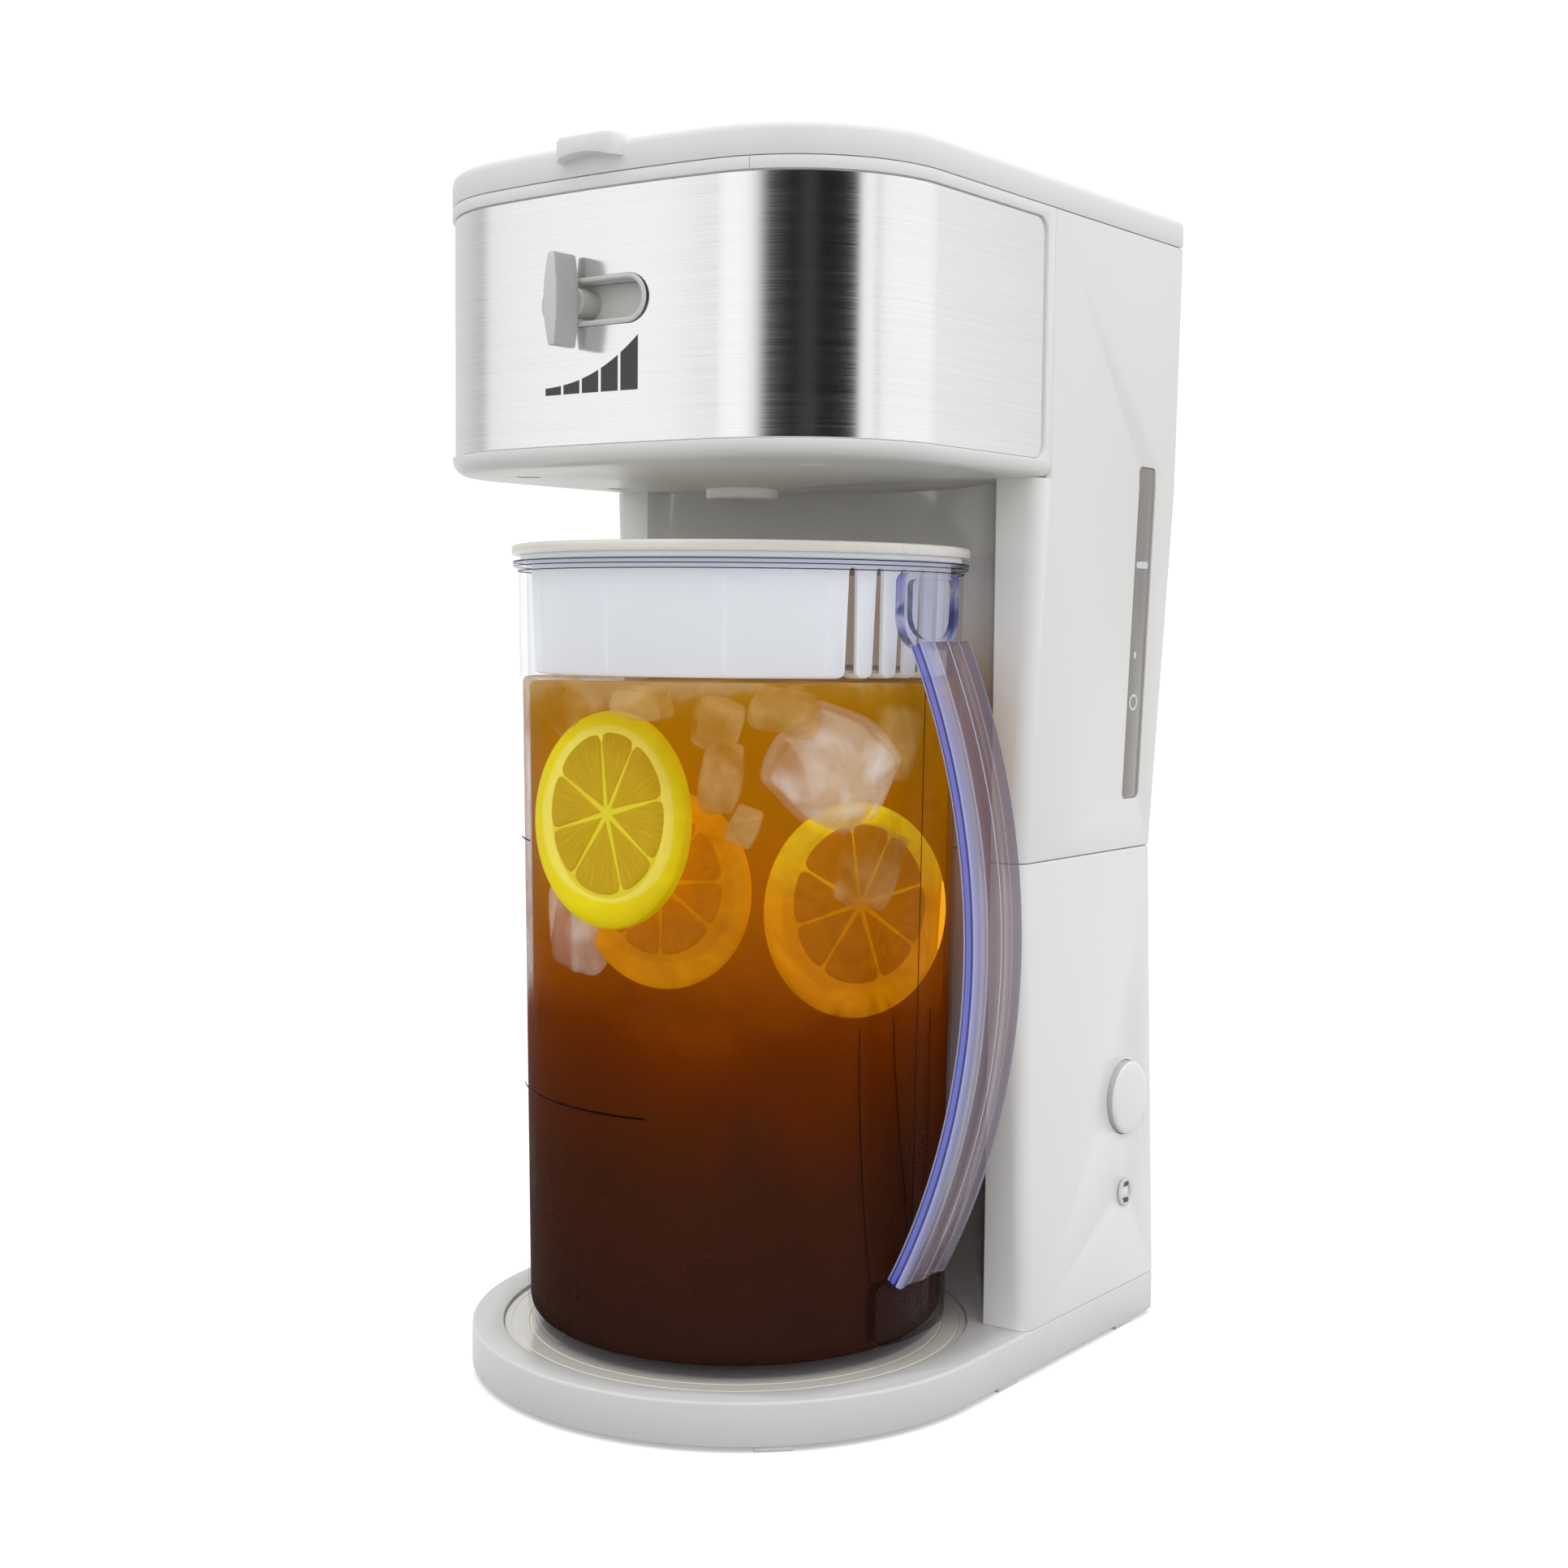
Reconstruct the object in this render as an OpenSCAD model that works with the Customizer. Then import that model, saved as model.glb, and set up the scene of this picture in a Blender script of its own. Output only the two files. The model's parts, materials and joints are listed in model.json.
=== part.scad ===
// Iced tea maker: a round-nosed base, a waisted tower that holds the water tank and the heater,
// an overhanging head with a steel front, and a clear pitcher with a brew basket below it.
// Millimetres, +Z up, front towards -Y. Z = 0 is the surface that it stands on.

/* [Body] */
// Width of the head, and of the tower at its foot
body_w = 178; // [168:1:190]
// Width of the tower at its waist seam
waist_w = 168; // [160:1:178]
// How far the tower's front flanges lie behind the origin
tower_front = 15; // [12:0.5:17]
// How far the rear wall lies behind the origin at the foot
tower_back = 106.5; // [102:0.5:111]
// How far the rear wall lies behind the origin at the top
top_back = 113.7; // [108:0.1:118]
// Height of the waist seam
waist_z = 168; // [158:1:182]
// Height of the rim under the tank lid
rim_z = 376.2; // [370:0.1:386]
// Wall of the moulded housings
wall = 2.5; // [2:0.1:3]
// Radius of the tower's front upright edges
flange_r = 5; // [3:0.5:8]
// Radius of the rear upright edges
back_r = 3; // [2:0.5:10]
// Radius of the hollow front of the tower, round the pitcher
bay_r = 82.5; // [80:0.5:86]

/* [Base] */
// How far the base's nose lies in front of the origin
base_front = 110.5; // [108:0.5:114]
// Height of the base above its feet
base_h = 13.6; // [12:0.1:18]
// Radius of the base's top edge
base_edge_r = 1; // [0.6:0.1:3]
// Height of the feet
foot_h = 1.6; // [1:0.1:3]
// Length of a foot along the rim
foot_len = 12; // [8:1:16]
// Radius of the pitcher's seat
seat_r = 77; // [75:0.5:80]
// Depth of the seat in the base
seat_depth = 2.2; // [2:0.1:3]
// Thickness of the seat disc
disc_t = 1.2; // [0.8:0.1:1.6]

/* [Head] */
// How far the head's front lies in front of the origin
head_front = 98; // [94:0.5:102]
// Height of the head's underside
head_z = 291.5; // [288:0.5:296]
// How far the head's casing reaches behind the origin
head_back = 21.8; // [19:0.2:26]
// Wall of the head's casing
head_wall = 3; // [2.6:0.1:3.4]
// Radius of the head's front corners
corner_r = 50; // [40:1:60]
// Radius of the head's bowed front
bow_r = 420; // [350:10:600]
// Radius of the head's lower edge
head_edge_r = 5; // [3:0.5:6]

/* [Steel panel] */
// Height of the panel's lower edge
panel_z = 297.3; // [296:0.1:304]
// Height of the panel
panel_h = 75.1; // [66:0.1:75.5]
// Thickness of the panel
panel_t = 0.6; // [0.5:0.1:0.9]
// How far the panel lies below the face of the casing
panel_sink = 0.85; // [0.5:0.05:1.2]
// How far the panel's ends reach behind the origin
panel_back = 17; // [12:0.5:18]
// Radius of the panel's corners
panel_r = 5; // [3:0.5:8]

/* [Strength slider] */
// Height of the slider
slider_z = 339.5; // [334:0.5:344]
// Travel of the slider
slider_travel = 27; // [20:1:28]
// Place of the knob at rest, from the middle of its travel
knob_rest = -6.75; // [-9:0.25:9]
// Diameter of the knob's stem
stem_d = 9; // [7:0.5:10]
// Height of the knob's paddle
paddle_h = 27.4; // [22:0.2:32]
// Width of the paddle at its middle
paddle_w = 5.6; // [4:0.2:8]
// Depth of the paddle at its middle
paddle_d = 10.6; // [8:0.2:12]
// Wall of the slot's bezel
bezel_w = 1.6; // [1.2:0.1:2]

/* [Tank lid] */
// Height of the lid's edge
lid_h = 9.6; // [8.6:0.2:12]
// Rise of the lid's middle above its edge
lid_crown = 1.6; // [0:0.2:3]
// Radius of the lid's upper edge
lid_edge_r = 2.6; // [1.5:0.1:3.5]
// Wall of the lid
lid_wall = 2.4; // [2:0.1:3]
// Width of the finger tab
tab_w = 24; // [18:1:32]
// How far the finger tab reaches out
tab_reach = 5.5; // [4:0.5:8]
// Thickness of the finger tab
tab_t = 6.6; // [5:0.2:7]
// Radius of the hinge pins
pin_r = 1.5; // [1.2:0.1:1.8]
// Length of a hinge pin
pin_len = 20; // [16:1:26]
// Distance of a hinge lug from the middle
lug_x = 52; // [42:1:60]

/* [Tank] */
// Wall of the water tank
tank_wall = 2; // [1.6:0.1:2.4]
// Height of the water tank's rim
tank_top = 345; // [330:1:348]
// Width of the level window
window_w = 12; // [8:0.5:14]
// Height of the window's lower end
window_z = 185.5; // [180:0.5:195]
// Height of the window
window_h = 113.5; // [90:0.5:118]
// Place of the window along the side
window_y = 88.2; // [80:0.2:90]

/* [Controls] */
// Diameter of the brew button
button_d = 25.4; // [20:0.2:28]
// Height of the brew button's middle
button_z = 81.2; // [74:0.2:90]
// Place of the brew button along the side
button_y = 84.8; // [80:0.2:86]
// How far the button stands out of the wall
button_out = 3; // [2.6:0.1:4]
// Travel of the brew button
button_travel = 2.2; // [1.5:0.1:2.5]
// Diameter of the indicator
lamp_d = 9.8; // [8:0.2:12]
// Height of the indicator's middle
lamp_z = 48; // [42:0.2:54]
// Place of the indicator along the side
lamp_y = 83.5; // [80:0.2:90]

/* [Water path] */
// Outer radius of the hard tubes
tube_r = 4; // [3.5:0.1:4.5]
// Bore radius of the hard tubes
tube_bore_r = 2.8; // [2:0.1:3]
// Outer radius of the hoses
hose_r = 6; // [5.6:0.1:6.6]
// Half the distance between the heater's two legs
heater_x = 35; // [30:1:40]
// Height of the heater's ends
heater_top = 100; // [94:1:108]
// Radius of the outlet's ring
outlet_r = 11.7; // [11:0.1:14]
// Distance of the outlet's mouth below the head
outlet_drop = 6.8; // [5:0.1:8]
// Outer radius of the outlet's neck
neck_r = 9.4; // [8:0.1:10]

/* [Pitcher] */
// Place of the pitcher's axis in front of the origin
pitcher_front = 24; // [22:0.5:26]
// Outer radius of the pitcher near its rim
pitcher_top_r = 72.3; // [71:0.1:73]
// Outer radius of the pitcher near its foot
pitcher_foot_r = 66.5; // [62:0.1:70]
// Height of the pitcher to its rim
pitcher_h = 249.8; // [246:0.2:251]
// Wall of the pitcher
pitcher_wall = 2.6; // [2.2:0.1:3]
// Radius of the pitcher's lower corner
pitcher_corner_r = 7; // [5:0.5:10]
// How far the rim stands out
rim_out = 1.7; // [1:0.1:1.8]
// Height of the brew basket
basket_h = 36; // [28:0.5:44]
// Wall of the brew basket
basket_wall = 1.6; // [1.4:0.1:2]
// Number of pouring slots in the basket
basket_slots = 7; // [3:1:9]
// Width of a pouring slot
slot_w = 2.4; // [1.6:0.2:3]
// How far the pitcher's lid stands out from the pitcher's wall
lid_out = 2.2; // [1.8:0.1:3.5]
// Height of the pitcher lid's edge
pitcher_lid_h = 3.4; // [3:0.1:4]

/* [Handle] */
// How far the grip stands out from the pitcher's wall near the rim
handle_out = 27.8; // [24:0.2:32]
// How far the grip's upper end stands out from the bracket
grip_top_out = 4.2; // [3:0.1:5]
// How far the grip's lower end stands out from the plate
grip_foot_out = 1.4; // [0.5:0.1:3]
// Thickness of the grip
grip_t = 5.5; // [4.5:0.1:7.5]
// Width of the grip
grip_w = 27; // [22:0.5:29]
// Width of the upper bracket
bracket_w = 31; // [30:0.5:36]
// Width of the lower plate
plate_w = 40; // [32:0.5:46]

/* [Hidden] */

// Clearances: between pieces that are fixed together, that lift apart, and that slide
fit = 0.15;
lift_gap = 0.1;
slide_gap = 0.3;
lid_gap = 0.3;
pin_gap = 0.05;
seam = 0.35;
over = 1;

base_top = foot_h + base_h;
nose_y = body_w/2 - base_front;
axis_y = -pitcher_front;
bow_y = bow_r - head_front;
panel_face = head_front - panel_sink;

// Points on an arc about c, from angle a0 to a1 in n steps, with steps i0 to i1 kept
function arc(c, r, a0, a1, n, i0 = 0, i1 = -1) =
    [for (i = [i0:(i1 < 0 ? n : i1)]) let (a = a0 + (a1 - a0)*i/n) c + r*[cos(a), sin(a)]];

// The head's plan, inset by e, with a bowed front and its rear edge at back
function head_plan(e, back, rr = back_r) =
    let (cx = body_w/2 - corner_r,
         dy = sqrt(pow(bow_r - corner_r, 2) - cx*cx),
         cy = bow_y - dy,
         t = atan(cx/dy),
         r = max(rr - e, 0.3),
         bx = body_w/2 - e - r,
         by = back - r)
    concat(arc([0, bow_y], bow_r - e, -90 - t, -90 + t, 12),
           arc([cx, cy], corner_r - e, -90 + t, 0, 11, 1),
           arc([bx, by], r, 0, 90, 4),
           arc([-bx, by], r, 90, 180, 4),
           arc([-cx, cy], corner_r - e, 180, 270 - t, 11, 0, 10));

// The tower's plan at height z, inset by e, with its four rounded upright edges
function half_w(z) = z < waist_z
    ? body_w/2 + (waist_w - body_w)/2*(z - base_top)/(waist_z - base_top)
    : min(body_w/2, waist_w/2 + (body_w - waist_w)/2*(z - waist_z)/(head_z - waist_z));
function back_y(z) = z < waist_z ? tower_back
    : tower_back + (top_back - tower_back)*(z - waist_z)/(rim_z - waist_z);
function tower_plan(z, e, front = tower_front) =
    let (w = half_w(z) - e, f = front + e, b = back_y(z) - e,
         rf = max(flange_r - e, 0.4), rb = max(back_r - e, 0.4))
    concat(arc([w - rf, f + rf], rf, -90, 0, 5),
           arc([w - rb, b - rb], rb, 0, 90, 5),
           arc([-w + rb, b - rb], rb, 90, 180, 5),
           arc([-w + rf, f + rf], rf, 180, 270, 5));

// The base's plan, inset by e: a half circle in front, square with rounded corners behind
function base_plan(e) =
    let (w = body_w/2 - e, r = max(back_r - e, 0.4), b = tower_back - e)
    concat(arc([0, nose_y], w, 180, 360, 36),
           arc([w - r, b - r], r, 0, 90, 5),
           arc([-w + r, b - r], r, 90, 180, 5));

function ring_at(plan, z) = [for (p = plan) [p.x, p.y, z]];

// A solid through rings of points, from the lowest to the highest
module loft(rings) {
    n = len(rings[0]);
    m = len(rings);
    polyhedron(points = [for (r = rings) each r],
        faces = concat([[for (i = [0:n - 1]) i]],
            [for (k = [0:m - 2], i = [0:n - 1], s = [0, 1])
                let (a = k*n + i, b = k*n + (i + 1)%n, c = b + n, d = a + n)
                s == 0 ? [a, d, c] : [a, c, b]],
            [[for (i = [n - 1:-1:0]) (m - 1)*n + i]]));
}

module rounded_bar(l, w, r) {
    for (x = [-1, 1], y = [-1, 1])
        translate([x*(l/2 - r), y*(w/2 - r)]) circle(r, $fn = 32);
    square([l - 2*r, w], center = true);
    square([l, w - 2*r], center = true);
}

module slot_2d(l, w) {
    for (x = [-1, 1]) translate([x*(l - w)/2, 0]) circle(w/2, $fn = 48);
    square([l - w, w], center = true);
}

module tube(r, bore, h) {
    difference() {
        cylinder(r = r, h = h, $fn = 48);
        translate([0, 0, -over]) cylinder(r = bore, h = h + 2*over, $fn = 48);
    }
}

// Turns a flat outline in X and Z into a slab that starts at y and grows backwards
module upright(y, t) {
    translate([0, y + t, 0]) rotate([90, 0, 0]) linear_extrude(t) children();
}

// Turns a flat outline in Y and Z into a bar along X, from x0 to x1
module along_x(x0, x1) {
    translate([x0, 0, 0]) rotate([90, 0, 90]) linear_extrude(x1 - x0) children();
}

// A round bore or boss along X
module rod_x(x0, x1, y, z, r) {
    translate([x0, y, z]) rotate([0, 90, 0]) cylinder(r = r, h = x1 - x0, $fn = 40);
}

/* Base */
screw_r = 1.5;
screw_head_r = 3;
screw_len = 10;
boss_r = 4;
plate_t = 2;
base_screw_at = [[-58, -58], [58, -58], [-70, 60], [70, 60]];
seat_floor = base_top - seat_depth;
seat_z = seat_floor + disc_t;

module base_shell() {
    inner_top = base_top - wall;
    color("gainsboro") difference() {
        loft(concat([ring_at(base_plan(0), foot_h)],
            [for (a = [0:30:90]) ring_at(base_plan(base_edge_r*(1 - cos(a))),
                base_top - base_edge_r*(1 - sin(a)))]));
        difference() {
            translate([0, 0, foot_h - over])
                linear_extrude(inner_top - foot_h + over) polygon(base_plan(wall));
            translate([0, axis_y, seat_floor - wall])
                cylinder(r = seat_r + wall, h = base_h, $fn = 128);
            for (p = base_screw_at) translate([p.x, p.y, foot_h + plate_t])
                cylinder(r = boss_r, h = base_h, $fn = 32);
        }
        translate([0, axis_y, seat_floor]) cylinder(r = seat_r, h = base_h, $fn = 128);
        for (p = base_screw_at) translate([p.x, p.y, foot_h])
            cylinder(r = screw_r - 0.2, h = base_h - 4, $fn = 24);
        translate([-45, tower_back - 30, inner_top - over]) cube([90, 20, wall + 2*over]);
    }
}

module base_plate() {
    color("silver") difference() {
        translate([0, 0, foot_h]) linear_extrude(plate_t) difference() {
            polygon(base_plan(wall + fit));
            for (p = base_screw_at) translate(p) circle(screw_r + 0.2, $fn = 24);
            for (x = [-24:8:24]) translate([x, tower_back - 24])
                rotate(90) slot_2d(22, 2.4);
        }
        for (p = base_screw_at) translate([p.x, p.y, foot_h - 0.01])
            cylinder(r1 = screw_head_r + 0.2, r2 = screw_r + 0.2, h = 1.4, $fn = 24);
    }
}

module base_screws() {
    color("dimgray") for (p = base_screw_at) translate([p.x, p.y, foot_h + 0.1]) {
        cylinder(r1 = screw_head_r, r2 = screw_r - 0.25, h = 1.4, $fn = 24);
        cylinder(r = screw_r - 0.25, h = 7, $fn = 24);
    }
}

// Moulded tabs under the rim: two on the nose, two at the sides and two at the back
module feet() {
    foot_w = 6;
    r = body_w/2 - 0.6;
    turn = foot_len/r*180/PI;
    color("gainsboro") {
        for (a = [-46, -134]) translate([0, nose_y, 0]) rotate(a - turn/2)
            rotate_extrude(angle = turn, $fn = 180) translate([r - foot_w, 0])
                square([foot_w, foot_h]);
        for (s = [-1, 1], y = [5 - foot_len/2, tower_back - 28])
            translate([s*(r - foot_w/2) - foot_w/2, y, 0]) cube([foot_w, foot_len, foot_h]);
    }
}

module seat_disc() {
    color("linen") translate([0, axis_y, seat_floor]) rotate_extrude($fn = 128)
        polygon([[0, 0], [seat_r - fit - 0.4, 0], [seat_r - fit, 0.4],
                 [seat_r - fit, disc_t - 0.3], [seat_r - fit - 0.3, disc_t], [0, disc_t]]);
}

/* Tower */
rear_w = 130;
rear_z = 26;
rear_h = 124;
rear_r = 6;
cover_screw_at = [for (x = [-1, 1], z = [0, 1]) [x*(rear_w/2 - 7), rear_z + 7 + z*(rear_h - 14)]];
post_at = [[-16, 84], [16, 84]];
bracket_y = tower_back - 33;
leg_y = tower_back - 21.5;

module bay(grow, top) {
    translate([0, axis_y, 0]) cylinder(r = bay_r + grow, h = top, $fn = 180);
}

// Moves to the outer face of the right wall at height z, looking out of it
module wall_frame(y, z) {
    translate([half_w(z), y, z]) rotate([0, 90, 0]) children();
}

module lower_housing() {
    lip = 8;
    color("white") difference() {
        union() {
            difference() {
                loft([ring_at(tower_plan(base_top, seam), base_top),
                      ring_at(tower_plan(base_top + seam, 0), base_top + seam),
                      ring_at(tower_plan(waist_z - seam, 0), waist_z - seam),
                      ring_at(tower_plan(waist_z, seam), waist_z)]);
                difference() {
                    loft([ring_at(tower_plan(base_top - over, wall), base_top - over),
                          ring_at(tower_plan(waist_z, wall), waist_z),
                          ring_at(tower_plan(waist_z, wall), waist_z + over)]);
                    bay(wall, rim_z);
                }
            }
            // Ledge that the rear cover lies on, and the bosses for its screws
            translate([0, tower_back - 2*wall, rear_z + rear_h/2]) rotate([-90, 0, 0])
                linear_extrude(wall + 0.5) rounded_bar(rear_w + lip, rear_h + lip, rear_r + lip/2);
            for (p = cover_screw_at) translate([p.x, tower_back - 14, p[1]])
                rotate([-90, 0, 0]) cylinder(r = boss_r, h = 12, $fn = 32);
            // Posts that carry the heater's bracket
            for (p = post_at) translate([p.x, bracket_y, p[1]]) rotate([90, 0, 0])
                cylinder(r = boss_r, h = bracket_y - (axis_y + bay_r + wall/2 - 2), $fn = 32);
        }
        bay(0, rim_z);
        translate([0, tower_back - wall, rear_z + rear_h/2]) rotate([-90, 0, 0])
            linear_extrude(wall + over)
                rounded_bar(rear_w + 2*fit, rear_h + 2*fit, rear_r + fit);
        translate([0, tower_back - 3*wall, rear_z + rear_h/2]) rotate([-90, 0, 0])
            linear_extrude(3*wall) rounded_bar(rear_w - 24, rear_h - 24, rear_r);
        for (p = cover_screw_at) translate([p.x, tower_back - 12, p[1]])
            rotate([-90, 0, 0]) cylinder(r = screw_r - 0.2, h = 12 + over, $fn = 24);
        for (p = post_at) translate([p.x, bracket_y + over, p[1]])
            rotate([90, 0, 0]) cylinder(r = screw_r - 0.2, h = 7, $fn = 24);
        wall_frame(button_y, button_z) translate([0, 0, -2*wall])
            cylinder(r = button_d/2 + slide_gap, h = 4*wall, $fn = 64);
        wall_frame(lamp_y, lamp_z) translate([0, 0, -2*wall])
            cylinder(r = lamp_d/2 - 1 + fit, h = 4*wall, $fn = 48);
        translate([gland_x, tower_back - 2*wall, gland_z]) rotate([-90, 0, 0])
            cylinder(r = gland_r + fit, h = 3*wall, $fn = 40);
    }
}

gland_x = -73;
gland_z = 34;
gland_r = 5;
gland_bore = 3.4;

module rear_cover() {
    vent_w = 3;
    vent_len = 44;
    color("whitesmoke") difference() {
        translate([0, tower_back - wall, rear_z + rear_h/2]) rotate([-90, 0, 0])
            linear_extrude(wall) rounded_bar(rear_w, rear_h, rear_r);
        for (x = [-1, 1], k = [0:7])
            translate([x*28, tower_back - wall - over, rear_z + 34 + 8*k]) rotate([-90, 0, 0])
                linear_extrude(wall + 2*over) slot_2d(vent_len, vent_w);
        for (p = cover_screw_at) translate([p.x, tower_back - wall - over, p[1]])
            rotate([-90, 0, 0]) cylinder(r = screw_r + 0.2, h = wall + 2*over, $fn = 24);
    }
}

module cover_screws() {
    color("dimgray") for (p = cover_screw_at) translate([p.x, tower_back - screw_len, p[1]])
        rotate([-90, 0, 0]) {
            cylinder(r = screw_r - 0.25, h = screw_len, $fn = 24);
            translate([0, 0, screw_len]) cylinder(r1 = screw_head_r, r2 = screw_head_r - 0.6, h = 1.6,
                                           $fn = 24);
        }
}

// The opening for the supply lead, with the lead itself left out
module cord_gland() {
    color("dimgray") translate([gland_x, tower_back, gland_z]) rotate([-90, 0, 0])
        rotate_extrude($fn = 48)
            polygon([[gland_bore, -wall - 2], [gland_r, -wall - 2], [gland_r, 0],
                     [gland_r + 1.6, 0], [gland_r + 1.6, 1], [gland_r + 0.6, 2.2],
                     [gland_bore, 2.2]]);
}

/* Tank housing */
floor_t = 2.5;
tank_floor = waist_z + floor_t;
drain = [-heater_x, leg_y];
riser = [0, leg_y];
seal_r = tube_r + 3;
tank_inset = wall + 0.8;
rise_z = tank_top + 8;
ledge_z = rim_z - 12;
ledge_w = 3;
pivot_r = 3.3;
pivot_y = top_back - pivot_r;
lid_z = rim_z + lid_gap;
pivot_z = lid_z + pivot_r;
lug_w = 6;

module window_outline(grow) {
    translate([window_y, window_z + window_h/2])
        rounded_bar(window_w + 2*grow, window_h + 2*grow, 2 + grow);
}

module tower_shell(e0, e1, z0, z1) {
    difference() {
        loft([for (z = [z0, head_z, z1]) ring_at(tower_plan(z, e0), z)]);
        loft([for (z = [z0 - over, head_z, z1 + over]) ring_at(tower_plan(z, e1), z)]);
    }
}

module tank_housing() {
    color("white") difference() {
        union() {
            difference() {
                loft([for (z = [waist_z, waist_z + seam, head_z, rim_z - seam, rim_z])
                    ring_at(tower_plan(z, z == waist_z || z == rim_z ? seam : 0), z)]);
                difference() {
                    loft([for (z = [tank_floor, head_z, rim_z, rim_z + over])
                        ring_at(tower_plan(min(z, rim_z), wall), z)]);
                    bay(wall, head_z + wall);
                }
            }
            // Ledge that carries the deck
            translate([0, 0, ledge_z - 2]) linear_extrude(2) difference() {
                polygon(tower_plan(ledge_z - 2, wall/2));
                polygon(tower_plan(ledge_z - 2, wall + ledge_w));
            }
            // Lugs of the lid's hinge
            for (s = [-1, 1]) {
                rod_x(s*lug_x - lug_w/2, s*lug_x + lug_w/2, pivot_y, pivot_z, pivot_r - 0.3);
                translate([s*lug_x - lug_w/2, pivot_y - pivot_r + 0.3, rim_z - 9])
                    cube([lug_w, 2*pivot_r - 0.6, pivot_z - rim_z + 9]);
            }
        }
        bay(0, head_z);
        // Everything in front of the casing's seam, above the head's underside
        translate([-body_w, tower_front - 60, head_z])
            cube([2*body_w, head_back - tower_front + 60, rim_z]);
        for (p = [drain, riser]) translate([p.x, p.y, waist_z - over])
            cylinder(r = seal_r - 1.2 + fit, h = floor_t + 2*over, $fn = 40);
        along_x(half_w(window_z) - 3*wall, body_w) window_outline(fit);
        for (s = [-1, 1])
            rod_x(s*lug_x - lug_w, s*lug_x + lug_w, pivot_y, pivot_z, pin_r + 0.02);
    }
}

module water_tank() {
    e = tank_inset;
    z0 = tank_floor;
    front = head_back + 0.5 - e;
    color("lightgray", 0.6) difference() {
        loft([for (z = [z0, head_z, tank_top]) ring_at(tower_plan(z, e, front), z)]);
        difference() {
            loft([for (z = [z0 + tank_wall, head_z, tank_top + over])
                ring_at(tower_plan(z, e + tank_wall, front), z)]);
            bay(e + tank_wall, rim_z);
        }
        bay(e, rim_z);
        for (p = [drain, riser]) translate([p.x, p.y, z0 - over])
            cylinder(r = seal_r - 1.2 + fit, h = tank_wall + 2*over, $fn = 40);
    }
}

// Grooved rubber seals, one round the valve and one round the riser, in the tank's floor
module tank_seals() {
    groove = floor_t + tank_wall;
    color("dimgray") for (p = [drain, riser]) translate([p.x, p.y, waist_z])
        rotate_extrude($fn = 48)
            polygon([[tube_r + 0.05, -1.5], [seal_r, -1.5], [seal_r, -0.05],
                     [seal_r - 1.2, -0.05], [seal_r - 1.2, groove + 0.05],
                     [seal_r, groove + 0.05], [seal_r, groove + 1.5],
                     [tube_r + 0.05, groove + 1.5]]);
}

// A clear strip in the wall, with a thin flange behind it
module level_window() {
    module strip(e0, e1, grow) {
        intersection() {
            tower_shell(e0, e1, waist_z + over, rim_z - over);
            along_x(half_w(window_z) - 3*wall, body_w) window_outline(grow);
        }
    }
    color("darkgray", 0.8) {
        strip(0.4, wall + 0.3, 0);
        strip(wall + 0.02, wall + 0.6, 1.6);
    }
}

/* Head */
slot_len = slider_travel + stem_d + 1.6;
slot_h = stem_d + 2.2;
collar_w = 0.8;
carriage_y = -panel_face + 6.15;
carriage_t = 2.5;
carriage_len = slider_travel + slot_len + 1;
carriage_h = slot_h + 7;
plug_r = 4;
plug_at = [[-57, -64], [57, -64], [-70, -4], [70, -4]];
dish_r = 56;
dish_h = 3.2;
neck_flange_z = head_z - dish_h;

module panel_outline(grow) {
    len = panel_back + head_front + 40;
    translate([panel_back - len/2, panel_z + panel_h/2])
        rounded_bar(len + 2*grow, panel_h + 2*grow, panel_r + grow);
}

module head_block(e, z0, z1) {
    translate([0, 0, z0]) linear_extrude(z1 - z0) polygon(head_plan(e, head_back, 0.3));
}

module head_casing() {
    r = head_edge_r;
    color("white") difference() {
        union() {
            difference() {
                loft(concat([for (a = [0:22.5:90]) ring_at(head_plan(r*(1 - sin(a)), head_back, 0.3),
                    head_z + r*(1 - cos(a)))],
                    [ring_at(head_plan(0, head_back, 0.3), rim_z - seam),
                     ring_at(head_plan(seam, head_back, 0.3), rim_z)]));
                // Open at the top and towards the tower
                translate([0, 0, head_z + head_wall]) linear_extrude(rim_z) difference() {
                    polygon(head_plan(head_wall, head_back + 2*over, 0.3));
                }
            }
            translate([0, 0, ledge_z - 2]) linear_extrude(2) intersection() {
                difference() {
                    polygon(head_plan(head_wall/2, head_back, 0.3));
                    polygon(head_plan(head_wall + ledge_w, head_back + over, 0.3));
                }
            }
            // The underside swells gently towards the outlet
            translate([0, axis_y, neck_flange_z]) intersection() {
                cylinder(r1 = outlet_r + 3, r2 = dish_r, h = dish_h, $fn = 96);
            }
        }
        translate([0, axis_y, head_z - 2*dish_h])
            cylinder(r = neck_r + fit, h = 4*dish_h, $fn = 64);
        // Pocket for the steel panel
        difference() {
            along_x(-body_w, body_w) panel_outline(fit);
            translate([0, 0, panel_z - 5]) linear_extrude(panel_h + 10)
                polygon(head_plan(panel_sink + panel_t + 0.05, head_back + 20, 0.3));
        }
        translate([0, 0, slider_z]) upright(-head_front - over, 3*head_wall)
            slot_2d(slot_len + 2*collar_w + 2*fit, slot_h + 2*collar_w + 2*fit);
        for (p = plug_at) translate([p.x, p.y, head_z - over])
            cylinder(r = plug_r + fit, h = over + 1.4, $fn = 32);
    }
}

// Caps over the casing's screws, in the underside
module casing_plugs() {
    color("whitesmoke") for (p = plug_at) translate([p.x, p.y, head_z + 0.3])
        cylinder(r = plug_r, h = 1.1, $fn = 32);
}

mouth_w = 132;
mouth_front = 34;
mouth_margin = 16;
deck_t = 2;

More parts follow.
